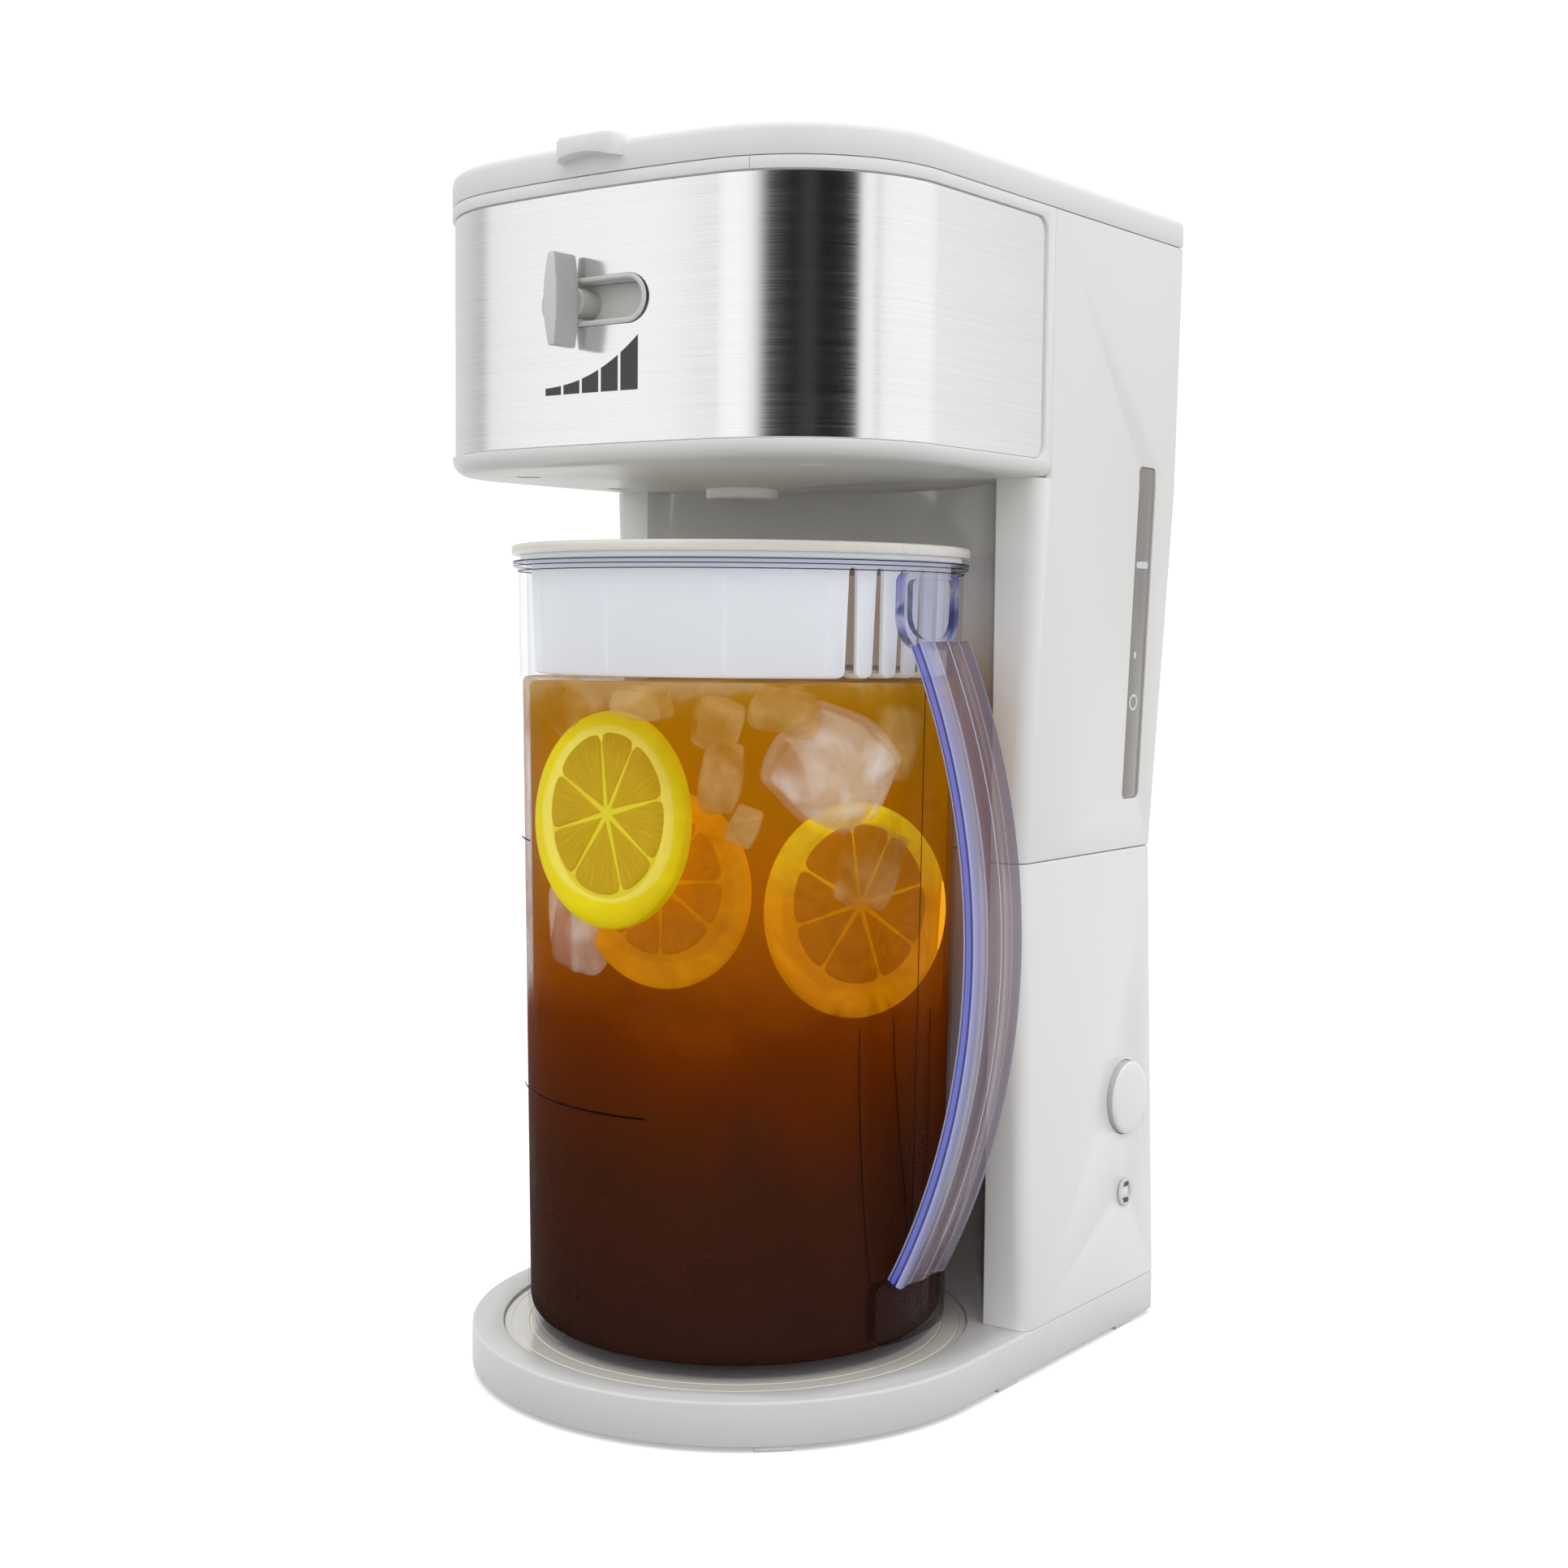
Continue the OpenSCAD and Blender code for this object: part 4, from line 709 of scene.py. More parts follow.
def tea_veil(name, clearings):
    """The tea between the heart and the wall: thin above, dense below, thin over some pieces."""
    material, tree, shader = new_finish(name)
    shade, level = tea_colour(tree)
    where = add_node(tree, "ShaderNodeTexCoord")
    dense = remap(tree, level, 0.45, 0.53, 0.98, 0.52)
    swirl = cloud(tree, place_on_piece(tree), 34, 4, 0.6, 1.2)
    dense = sums(tree, "ADD", dense, remap(tree, swirl, 0.3, 0.7, -0.14, 0.14))
    for centre, reach, least in clearings:
        away = add_node(tree, "ShaderNodeVectorMath", operation="DISTANCE")
        feed(tree, away, {0: where.outputs["Object"], 1: centre})
        open_ = remap(tree, away.outputs["Value"], reach * 0.85, reach * 1.3, least, 1.0)
        dense = sums(tree, "MULTIPLY", dense, open_)
    # Painted glow: the veil shines a little in its own colour
    matte(tree, shader, shade, 0.12, 0.7, Alpha=sums(tree, "MINIMUM", dense, 1.0))
    return material


def lemon_skin(name, peel, flesh, light, crest=None):
    """Lemon peel that pales into pith inwards, by the piece's own peel values."""
    material, tree, shader = new_finish(name)
    pores = cloud(tree, place_on_piece(tree), 650, 3, 0.6)
    wide = cloud(tree, place_on_piece(tree), 90, 3, 0.6)
    own = add_node(tree, "ShaderNodeAttribute", attribute_name="peel").outputs["Fac"]
    share = sums(tree, "ADD", own, remap(tree, wide, 0.3, 0.7, -0.18, 0.18))
    shade = blend_colours(tree, remap(tree, share, 0.25, 0.75, 0, 1), flesh, peel)
    walls = tuple(0.2 * a + 0.66 * b for a, b in zip(flesh, peel))
    shade = blend_colours(tree, remap(tree, own, -0.2, -0.8, 0, 1), shade, walls)
    if crest:
        # The part above a height catches more light
        above = remap(tree, height_of(tree), 0.158, 0.186, 0, 1)
        shade = blend_colours(tree, above, shade, crest)
    rough = remap(tree, pores, 0.3, 0.7, 0.4, 0.6)
    matte(tree, shader, shade, light, rough, 0.15, Normal=bumps(tree, pores, 0.4, 0.06))
    return material


def lemon_flesh(name, base, light):
    """Pulp with its juice sacs, which run outwards from the middle."""
    material, tree, shader = new_finish(name)
    own = add_node(tree, "ShaderNodeUVMap", uv_map="sacs")
    mapping = add_node(tree, "ShaderNodeMapping")
    feed(tree, mapping, {"Scale": (900, 90, 1), "Vector": own.outputs["UV"]})
    sacs = cloud(tree, mapping.outputs["Vector"], 1.0, 3, 0.6)
    wide = cloud(tree, place_on_piece(tree), 60, 3, 0.6)
    pale = scaled(base, 1.12)
    shade = blend_colours(tree, remap(tree, sacs, 0.35, 0.65, 0, 1), scaled(base, 0.86), pale)
    shade = blend_colours(tree, remap(tree, wide, 0.35, 0.65, 0, 0.3), shade, pale)
    matte(tree, shader, shade, light, 0.45, 0.15, Normal=bumps(tree, sacs, 0.4, 0.08))
    return material


def ice_finish(name, dull, pale, light, cover):
    """Cloudy ice whose edges melt into the tea."""
    material, tree, shader = new_finish(name)
    haze = cloud(tree, place_on_piece(tree), 52, 3, 0.5, 0.3)
    shade = blend_colours(tree, remap(tree, haze, 0.38, 0.60, 0, 1), dull, pale)
    layer = add_node(tree, "ShaderNodeLayerWeight")
    feed(tree, layer, {"Blend": 0.5})
    solid = remap(tree, layer.outputs["Facing"], 0.10, 0.80, cover, 0.0)
    solid = sums(tree, "MULTIPLY", solid, remap(tree, haze, 0.34, 0.58, 0.70, 1.0))
    relief = bumps(tree, haze, 0.12, 0.3)
    # Painted glow in the ice's own colour
    matte(tree, shader, shade, light, 0.4, 0.1, Alpha=solid, Normal=relief)
    return material


def grip_finish(name, tint):
    """The grip's clear plastic: dense blue on its sides, thin and pale on its broad face, with
    painted highlight lines and dark streaks.
    """
    material, tree, shader = new_finish(name)
    own = add_node(tree, "ShaderNodeAttribute", attribute_name="around")
    streak = cloud(tree, place_on_piece(tree, (1, 1, 0.25)), 60, 3, 0.5)
    place = sums(tree, "ADD", own.outputs["Fac"], remap(tree, streak, 0.3, 0.7, -0.012, 0.012))
    place = remap(tree, place, -0.5, 3.5, 0, 1)

    def spread(stops):
        """Stops by the way round the section, from -0.5 to 3.5, put between 0 and 1."""
        return ramp(tree, place, [((a + 0.5) / 4, shade) for a, shade in stops])

    def tinted(shade):
        return tuple(c * (0.7 + 0.3 * w) for c, w in zip(screen_colour(*shade), tint))

    # Tones round the section: the grip's blue, with white painted highlights at its corners and
    # groove edges and dark painted streaks beside them
    tones = [
        (-0.5, (176, 182, 235)), (-0.02, (150, 158, 240)), (0.02, (238, 240, 255)),
        (0.07, (238, 240, 255)), (0.10, (48, 58, 170)), (0.17, (58, 68, 184)),
        (0.22, (146, 154, 244)), (0.56, (134, 144, 242)), (0.62, (40, 44, 142)),
        (0.74, (48, 50, 152)), (0.80, (214, 218, 252)), (0.86, (236, 238, 255)),
        (0.93, (198, 202, 246)), (1.10, (182, 182, 204)), (1.26, (168, 164, 180)),
        (1.275, (240, 238, 244)), (1.29, (128, 102, 106)), (1.485, (120, 92, 94)),
        (1.494, (240, 238, 242)), (1.506, (240, 238, 242)), (1.515, (124, 96, 98)),
        (1.73, (128, 100, 100)), (1.74, (206, 198, 208)), (1.755, (118, 96, 100)),
        (1.88, (112, 100, 110)), (1.95, (170, 170, 196)), (2.0, (236, 238, 250)),
        (2.12, (176, 172, 190)), (2.85, (172, 168, 188)), (3.05, (176, 178, 214)),
        (3.5, (176, 182, 225)),
    ]
    covers = [
        (-0.5, 0.10), (-0.06, 0.12), (0.0, 0.9), (0.95, 0.92), (1.06, 0.74), (1.25, 0.62),
        (1.272, 0.85), (1.292, 0.70), (1.485, 0.68), (1.495, 0.9), (1.505, 0.9), (1.518, 0.68),
        (1.728, 0.68), (1.74, 0.85), (1.757, 0.72), (1.88, 0.74), (1.95, 0.7), (2.03, 0.8),
        (2.12, 0.22), (2.9, 0.2), (3.06, 0.10), (3.5, 0.08),
    ]
    looks = {
        "Base Color": spread([(a, tinted(shade)) for a, shade in tones]),
        "Alpha": spread([(a, (v, v, v)) for a, v in covers]),
        "Roughness": 0.12,
        "IOR": PLASTIC_IOR,
    }
    feed(tree, shader, looks)
    return material


def blue_edges(name, dim=1.0):
    """Edges of thick clear plastic, where light gathers in blue, white and dark streaks."""
    material, tree, shader = new_finish(name)
    streak = cloud(tree, place_on_piece(tree, (1, 1, 0.5)), 130, 2, 0.5, 0.6)
    tones = (
        (0.30, (50, 56, 84)), (0.40, (96, 104, 190)), (0.48, (176, 182, 246)),
        (0.58, (236, 238, 252)), (0.70, (150, 156, 220)),
    )
    shade = ramp(tree, streak, [(a, scaled(screen_colour(*tone), dim)) for a, tone in tones])
    feed(tree, shader, {"Base Color": shade, "Roughness": 0.1, "Alpha": 0.82})
    return material


FINISH = {}


def prepare_finishes():
    """Makes each finish once."""
    shades = bpy.context.scene.tea_finishes
    body, cream, knob = tuple(shades.body), tuple(shades.cream), tuple(shades.knob)
    FINISH.update(
        white=moulded_plastic("white_plastic", body, 0.36),
        # The wall round the pitcher: glossier, and darker as painted shade
        bay=moulded_plastic("bay_plastic", scaled(body, 0.94), 0.12, 900, 0.006, coat=1.0),
        base=moulded_plastic("base_plastic", tuple(shades.base), 0.38),
        cream=moulded_plastic("cream_plastic", cream, 0.26, coat=0.3),
        seat=moulded_plastic("seat_plastic", scaled(cream, 0.98), 0.14, 900, 0.01, coat=0.6),
        knob=moulded_plastic("knob_plastic", knob, 0.30, 1800, 0.02, 0.05),
        bezel=moulded_plastic("bezel_plastic", scaled(knob, 1.38), 0.3, 1800, 0.02, 0.04),
        # A lighter copy of the knob's grey, as painted light on the paddle's front
        knob_front=moulded_plastic("knob_front", scaled(knob, 1.42), 0.30, 1800, 0.02, 0.05),
        grey=moulded_plastic("grey_plastic", screen_colour(190, 190, 190), 0.45, 1200, 0.03, 0.06),
        dark=moulded_plastic("dark_plastic", screen_colour(52, 52, 54), 0.5, 1200, 0.03, 0.2),
        basket=frosted_plastic("basket_plastic", screen_colour(246, 248, 251), 0.17),
        # The basket's inner faces: a brownish tone with a painted glow
        stained=frosted_plastic("basket_inside", screen_colour(184, 166, 154), 0.36),
        tank=moulded_plastic("tank_plastic", screen_colour(214, 218, 220), 0.4, 900, 0.03),
        steel_front=brushed_steel("brushed_steel", tuple(shades.steel)),
        metal=plain_metal("plated_steel", screen_colour(190, 190, 188)),
        aluminium=plain_metal("aluminium", screen_colour(205, 206, 208), 0.38, 420),
        rubber=soft_rubber("black_rubber", screen_colour(58, 58, 58)),
        hose=soft_rubber("pale_silicone", screen_colour(222, 214, 204)),
        clear=see_through("clear_plastic", (0.985, 0.988, 0.996), shine_share=0.13, edge=0.3),
        blue=tinted_glass("blue_clear_plastic", tuple(shades.handle)),
        # Darker, bluer tint of the thick rim and foot, partly painted shade under the lid
        rim=see_through("rim_plastic", (0.84, 0.845, 0.90), 0.05, 1.0),
        # A dimmed copy of the blue edges, as painted shade on the pocket's inner walls
        dark_edge=blue_edges("dark_edges", 0.45),
        foot_edge=see_through("foot_edge", (0.60, 0.50, 0.50), 0.05, 0.8),
        # A darker copy of the body's white, as painted shade on the button's side
        button_side=moulded_plastic("button_side", scaled(body, 0.62), 0.4),
        grip=grip_finish("grip_plastic", tuple(shades.handle)),
        pane=see_through("bracket_pane", (0.90, 0.905, 0.955), 0.05, 0.5),
        blue_edge=blue_edges("blue_edges", 0.86),
        window=smoked_window("smoked_window", tuple(shades.window)),
        ink=ink("scale_ink", tuple(shades.print_ink)),
        mark=ink("mark_ink", screen_colour(232, 238, 240)),
        line=see_through("level_lines", (0.42, 0.36, 0.33), 0.2, 0.3),
        rim_line=see_through("rim_lines", (0.30, 0.31, 0.34), 0.2, 0.3),
    )


SLOT_FINISH = {
    "white_plastic": "white",
    "cream_plastic": "cream",
    "grey_plastic": "grey",
    "silver_plastic": "knob",
    "dark_plastic": "dark",
    "tank_plastic": "tank",
    "smoke_window": "window",
    "lamp_lens": "white",
    "clear_plastic": "clear",
    "blue_clear_plastic": "blue",
    "brushed_steel": "steel_front",
    "steel": "metal",
    "aluminium": "aluminium",
    "rubber": "rubber",
    "hose_rubber": "hose",
}


# Pieces


class TEAMAKER_OT_solids(Operator):
    """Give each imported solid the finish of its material"""

    bl_idname = "teamaker.solids"
    bl_label = "Finish the solids"

    def execute(self, context):
        for part in frame["record"]["subparts"]:
            node = frame["nodes"][part["node"]]
            node.data.materials.clear()
            node.data.materials.append(FINISH[SLOT_FINISH[part["material_slot"]]])
        return {"FINISHED"}


def faces_pitcher(face):
    """Whether a face is on the wall that curves round the pitcher, polished by its mould and
    painted a darker white as shade.
    """
    out = from_axis(face.center)
    return out.length < 95 * MM and face.normal.dot(out.normalized()) < -0.6


class TEAMAKER_OT_housings(Operator):
    """Model the tower's two mouldings, the base and the feet, with rounded edges"""

    bl_idname = "teamaker.housings"
    bl_label = "Housings"

    def execute(self, context):
        for node, name, finish, width in (
            ("tank_housing", "tank_housing_shell", "white", 0.35),
            ("lower_housing", "lower_housing_shell", "white", 0.35),
            ("base_shell", "base_moulding", "base", 0.4),
            ("feet", "foot_tabs", "base", 0.3),
            ("rear_cover", "rear_cover_plate", "white", 0.3),
            ("outlet_funnel", "outlet_cone", "white", 0.2),
            ("head_deck", "head_deck_plate", "white", 0.3),
            ("casing_plugs", "casing_caps", "white", 0.25),
        ):
            piece = moulded_copy(node, name, "machine", "white_plastic", FINISH[finish], width)
            if node in ("tank_housing", "lower_housing"):
                # Painted shade: the faces round the pitcher take a darker white
                second_finish(piece, FINISH["bay"], faces_pitcher)
            if node == "lower_housing":
                # A real gap under the upper moulding
                roof = max(vert.co.z for vert in piece.data.vertices)
                for vert in piece.data.vertices:
                    if vert.co.z > roof - 0.9 * MM:
                        vert.co.z -= 0.35 * MM
        return {"FINISHED"}


def steel_frame(name, low, high, longer, taller, rounder):
    """A prism with the steel's outline from the side, grown by longer, taller and rounder."""
    sizes = bpy.context.scene.tea_head
    # It reaches past the bowed front, where the sheet has no end
    length_ = sizes.steel_end / MM + sizes.front / MM + 40
    corner = sizes.steel_corner / MM + rounder
    outline = [
        (sizes.steel_end / MM - length_ / 2 + y, (low + high) / 2 + z)
        for y, z in rounded_outline(length_ + longer, high - low + taller, corner)
    ]
    return side_prism(name, outline, -120, 120)


def slot_cutter():
    """A prism that cuts the strength slider's opening through the head's front."""
    slot = bpy.context.scene.tea_slider
    grown = slot_outline(slot.slot / MM + 1.9, slot.slot_width / MM + 1.9)
    return front_prism("cut", [(x, slot.height / MM + z) for x, z in grown], -110, -88)


class TEAMAKER_OT_head(Operator):
    """Model the head's casing with its bowed front, swelling underside and sunk field"""

    bl_idname = "teamaker.head"
    bl_label = "Head casing"

    def execute(self, context):
        sizes = context.scene.tea_head
        foot, rim, edge = sizes.foot / MM, sizes.rim / MM, sizes.edge / MM
        wall, seam = 3.0, 0.35
        # The underside swells from a wide circle down to the outlet's neck
        wide, neck, bore, swelling = 56.0, 14.7, 9.6, 3.2
        plan = head_outline(edge)
        angles = [math.atan2(y - AXIS_Y, x) for x, y in plan]

        def round_ring(radius, height):
            return [round_spot(radius, a, height) for a in angles]

        def part_way(share, height):
            return [
                spot(
                    x + (wide * math.cos(a) - x) * share,
                    y + (AXIS_Y + wide * math.sin(a) - y) * share,
                    height,
                )
                for (x, y), a in zip(plan, angles)
            ]

        # Up the bore of the neck, then over the floor, up inside and down outside
        rings = [round_ring(bore, foot - swelling), round_ring(bore, foot + wall)]
        for inset, height in (
            (wall, foot + wall), (wall, rim), (seam, rim), (0.1, rim - 0.1), (0, rim - seam),
        ):
            rings.append(level_ring(head_outline(inset), height))
        for k in range(9):
            a = math.radians(90 * k / 8)
            inset, height = edge * (1 - math.cos(a)), foot + edge * (1 - math.sin(a))
            rings.append(level_ring(head_outline(inset), height))
        rings += [part_way(0.5, foot), part_way(1.0, foot)]
        for k in range(1, 9):
            swell = k / 8
            radius = wide + (neck - wide) * swell
            drop = swelling * (0.65 * swell + 0.35 * swell * swell)
            rings.append(round_ring(radius, foot - drop))
        piece = loft("head_shell", rings, closed=True)
        # Sunk field for the steel, open towards the front
        low, high = sizes.steel_foot / MM - 0.2, (sizes.steel_foot + sizes.steel_height) / MM + 0.2
        field = steel_frame("field", low, high, 0.3, 0.0, 0.15)
        inside = head_outline(1.5, 60)
        block = loft("block", [level_ring(inside, low - 5), level_ring(inside, high + 5)])
        carve(field, block)
        carve(piece, field)
        carve(piece, slot_cutter())
        for x, y in ((-57, -64), (57, -64), (-70, -4), (70, -4)):
            well = turn("well", [(4.15, foot - 2), (4.15, foot + 1.4)], spot(x, y, 0), 40)
            carve(piece, well)
        # Small gate mark in the rim
        mark = [(54.6, 372), (55.0, 372), (55.0, 377), (54.6, 377)]
        carve(piece, front_prism("mark", mark, -110, -90.4))
        tidy(piece, 1e-6)
        soften(piece, 0.25, 2, 50)
        finish_piece(piece, "machine", FINISH["white"], 36, ("head_casing",))
        return {"FINISHED"}


class TEAMAKER_OT_steel(Operator):
    """Model the steel sheet wrapped round the head, and its printed strength scale"""

    bl_idname = "teamaker.steel"
    bl_label = "Steel front"

    def execute(self, context):
        sizes = context.scene.tea_head
        outer, inner = sizes.sink / MM, (sizes.sink + sizes.steel) / MM
        low, high = sizes.steel_foot / MM, (sizes.steel_foot + sizes.steel_height) / MM
        section = ((outer, low), (outer, high), (inner, high), (inner, low))
        rings = [level_ring(head_outline(inset, 50), height) for inset, height in section]
        band = loft("steel_front", rings, closed=True)
        carve(band, steel_frame("frame_cut", low, high, -0.4, -0.4, 0.0), "INTERSECT")
        carve(band, slot_cutter())
        tidy(band, 1e-6)
        soften(band, 0.12, 1, 60)
        finish_piece(band, "machine", FINISH["steel_front"], 30, ("steel_panel",))

        bow = sizes.bow / MM
        face = bow - outer + 0.03
        centre = bow - sizes.front / MM

        def on_face(x, z):
            return spot(x, centre - math.sqrt(face * face - x * x), z)

        def bar_top(x):
            share = (x - SCALE_LEFT) / SCALE_LENGTH
            return SCALE_FOOT + 2.2 + 1.6 * share + 12.2 * share**2.4

        for k in range(5):
            x0 = SCALE_LEFT + 7.52 * k
            xs = [x0 + 6.5 * i / 8 for i in range(9)]
            ring = [on_face(x, SCALE_FOOT) for x in xs]
            ring += [on_face(x, bar_top(x)) for x in reversed(xs)]
            back = [p + Vector((0, 0.05 * MM, 0)) for p in ring]
            bar = loft(f"strength_bar_{k}", [ring, back])
            finish_piece(bar, "machine", FINISH["ink"], 30)
        return {"FINISHED"}


class TEAMAKER_OT_slider(Operator):
    """Model the slot's bezel and the strength knob"""

    bl_idname = "teamaker.slider"
    bl_label = "Strength slider"

    def execute(self, context):
        sizes = context.scene.tea_slider
        head = context.scene.tea_head
        face = -(head.front - head.sink) / MM
        height = sizes.height / MM
        long, wide, flange = sizes.slot / MM, sizes.slot_width / MM, sizes.bezel / MM

        def oval(grow, y):
            outline = slot_outline(long + 2 * grow, wide + 2 * grow)
            return [spot(x, y, height + z) for x, z in outline]

        def frame_of_ovals(name, sections):
            return loft(name, [oval(grow, face + y) for grow, y in sections], closed=True)

        bezel = frame_of_ovals(
            "slot_bezel_ring",
            (
                (0.0, 5.6), (0.0, -0.25), (0.12, -0.6), (0.45, -0.8), (flange - 0.5, -0.8),
                (flange - 0.15, -0.68), (flange, -0.35), (flange, -0.05), (0.8, -0.05), (0.8, 5.6),
            ),
        )
        finish_piece(bezel, "machine", FINISH["bezel"], 40, ("slot_bezel",))
        # A dark ring in the gap round the bezel, as painted shade
        gap = frame_of_ovals(
            "slot_gap",
            (
                (flange + 0.14, -0.08), (flange + 0.14, 0.5),
                (flange - 0.3, 0.5), (flange - 0.3, -0.08),
            ),
        )
        finish_piece(gap, "machine", FINISH["dark"], 40)

        # Paddle: a lens in plan, widest at its middle, with rounded ends
        knob_x, back = sizes.knob_x / MM, face - 1.7
        tall, broad, deep = sizes.paddle / MM, sizes.paddle_width / MM, sizes.paddle_depth / MM

        def section(z, shrink):
            t = 2 * (z - height) / tall
            w = broad * (1 - 0.55 * t * t) / 2 - shrink
            d = deep * (1 - 0.07 * t * t)
            points = []
            for i in range(40):
                a = 2 * math.pi * i / 40
                c, s = math.cos(a), math.sin(a)
                x = w * math.copysign(abs(c) ** 0.30, c)
                y = (d / 2 - shrink) * math.copysign(abs(s) ** 0.24, s)
                points.append(spot(knob_x + x, back - d / 2 + y, z))
            return points

        r = 0.5
        low, high = height - tall / 2, height + tall / 2
        quarter = [math.radians(90 * k / 4) for k in range(5)]
        rings = [section(low + r * (1 - math.cos(a)), r * (1 - math.sin(a))) for a in quarter]
        rings += [section(low + r + (tall - 2 * r) * k / 24, 0) for k in range(1, 24)]
        rings += [section(high - r * (1 - math.sin(a)), r * (1 - math.cos(a))) for a in quarter]
        paddle = loft("strength_paddle", rings)
        stem = turn("strength_stem", [(4.5, 0.0), (4.5, 8.0), (4.1, 8.4)], Vector((0, 0, 0)), 64)
        place = Matrix.Translation(spot(knob_x, face + 6.2, height))
        stem.data.transform(place @ Matrix.Rotation(math.pi / 2, 4, "X"))
        finish_piece(stem, "slider", FINISH["knob"], 40)
        finish_piece(paddle, "slider", FINISH["knob"], 50, ("strength_knob",))
        # Painted light: the paddle's front faces take a lighter grey than its sides
        second_finish(paddle, FINISH["knob_front"], lambda face: face.normal.y < -0.6)
        moulded_copy("slide_carriage", "carriage", "slider", "grey_plastic", FINISH["bezel"], 0.2)
        return {"FINISHED"}


class TEAMAKER_OT_tank_lid(Operator):
    """Model the tank's lid with its finger tab"""

    bl_idname = "teamaker.tank_lid"
    bl_label = "Tank lid"

    def execute(self, context):
        moulded_copy("tank_lid", "tank_lid_shell", "lid", "white_plastic", FINISH["white"], 0.3)
        return {"FINISHED"}


def wall_x(z):
    """Half the tower's width at height z, in millimetres."""
    broad, waist = 89.0, 84.0
    low = BASE_HIGH.z / MM
    if z < WAIST_Z:
        return broad - (broad - waist) * (z - low) / (WAIST_Z - low)
    return min(broad, waist + (broad - waist) * (z - WAIST_Z) / (HEAD_Z - WAIST_Z))


class TEAMAKER_OT_controls(Operator):
    """Model the brew button, the lamp and the level window with its marks"""

    bl_idname = "teamaker.controls"
    bl_label = "Controls and window"

    def execute(self, context):
        r, out = 12.7, 3.0
        profile = [(0.4, -14.0), (2.8, -14.0), (2.8, -0.2), (r - 1.5, -0.2), (r - 1.5, -4.6)]
        profile += [(r + 1.2, -4.6), (r + 1.2, -3.2), (r, -3.2)]
        profile += [(r, out - 1.7), (r - 0.12, out - 1.25), (r - 0.45, out - 0.85)]
        profile += [(r - 0.95, out - 0.6)]
        profile += [(r * s, out - 0.6 * s * s) for s in (0.8, 0.6, 0.4, 0.2, 0.04)]
        y, z = BUTTON_AT
        button = turn_sideways("brew_button_cap", profile, spot(wall_x(z), y, z))
        finish_piece(button, "button", FINISH["white"], 40, ("brew_button",))
        # Painted shade: the button's side wall takes a darker white
        second_finish(button, FINISH["button_side"], lambda face: abs(face.normal.x) < 0.3)

        r = 4.9
        profile = [(r - 2, -3), (r - 1, -3), (r - 1, 0.25), (r, 0.25), (r, 0.6), (r - 0.15, 0.82)]
        profile += [(r - 0.5, 0.92), (r - 1.5, 0.9), (r - 1.8, 0.75), (r - 2, 0.5)]
        lamp_y, lamp_z = LAMP_AT
        centre = spot(wall_x(lamp_z), lamp_y, lamp_z)
        ring = turn_sideways("lamp_ring", profile, centre, steps=72, closed=True)
        finish_piece(ring, "machine", FINISH["bezel"], 40, ("indicator_ring",))
        r = 2.85
        profile = [(0.2, -4), (r + 0.8, -4), (r + 0.8, -3.1), (r, -3.1), (r, 0.2), (r * 0.7, 0.45)]
        profile += [(r * 0.35, 0.56), (0.1, 0.6)]
        lens = turn_sideways("lamp_lens", profile, centre, steps=64)
        finish_piece(lens, "machine", FINISH["white"], 40, ("indicator_lens",))
        for side in (-1, 1):
            outline = [
                (lamp_y + y, lamp_z + side * 2.9 + z) for y, z in rounded_outline(3.4, 1.5, 0.6, 5)
            ]
            face = wall_x(lamp_z)
            ends = [[spot(face + out, y, z) for y, z in outline] for out in (0.3, 0.96)]
            dark = loft(f"lamp_slot_{side + 1}", ends)
            finish_piece(dark, "machine", FINISH["dark"], 40)

        window = ("level_window", "window_strip", "machine", "smoke_window")
        moulded_copy(*window, FINISH["window"], 0.12)
        # Plain level line, a dot and a ring printed on the strip

        def on_strip(y, z, lift):
            return spot(wall_x(z) - 0.4 + lift, y, z)

        def on_round(y, z, count, wide, tall, lift):
            turns = [math.tau * k / count for k in range(count)]
            return [on_strip(y + wide * math.cos(a), z + tall * math.sin(a), lift) for a in turns]

        line = [(88.2 + y, 265.9 + z) for y, z in rounded_outline(8.6, 2.3, 1.1, 8)]
        marks = [loft("level_line", [[on_strip(y, z, k) for y, z in line] for k in (-0.1, 0.06)])]
        marks.append(
            loft("level_dot", [on_round(86.6, 235, 24, 0.9, 1.3, lift) for lift in (-0.1, 0.06)])
        )
        rings = [
            on_round(87.2, 218.7, 36, radius, radius, lift)
            for radius, lift in ((2.9, -0.1), (2.9, 0.10), (2.0, 0.10), (2.0, -0.1))
        ]
        marks.append(loft("float_ring", rings, closed=True))
        for mark in marks:
            finish_piece(mark, "machine", FINISH["mark"], 30)
        return {"FINISHED"}


class TEAMAKER_OT_outlet(Operator):
    """Model the ring round the outlet"""

    bl_idname = "teamaker.outlet"
    bl_label = "Outlet ring"

    def execute(self, context):
        low, top, r, neck = 284.7, 288.3, 11.7, 9.42
        profile = [(neck, top), (r - 0.3, top), (r, top - 0.3), (r, low + 0.9)]
        profile += [(r - 0.2, low + 0.35), (r - 0.65, low), (r - 1.4, low)]
        profile += [(r - 2.6, low + 0.3), (7.85, low + 0.55)]
        profile += [(7.8, low + 0.88), (neck, low + 0.88)]
        ring = turn("outlet_collar", profile, PITCHER_AXIS, 96, closed=True)
        finish_piece(ring, "machine", FINISH["white"], 36, ("outlet_ring",))
        return {"FINISHED"}


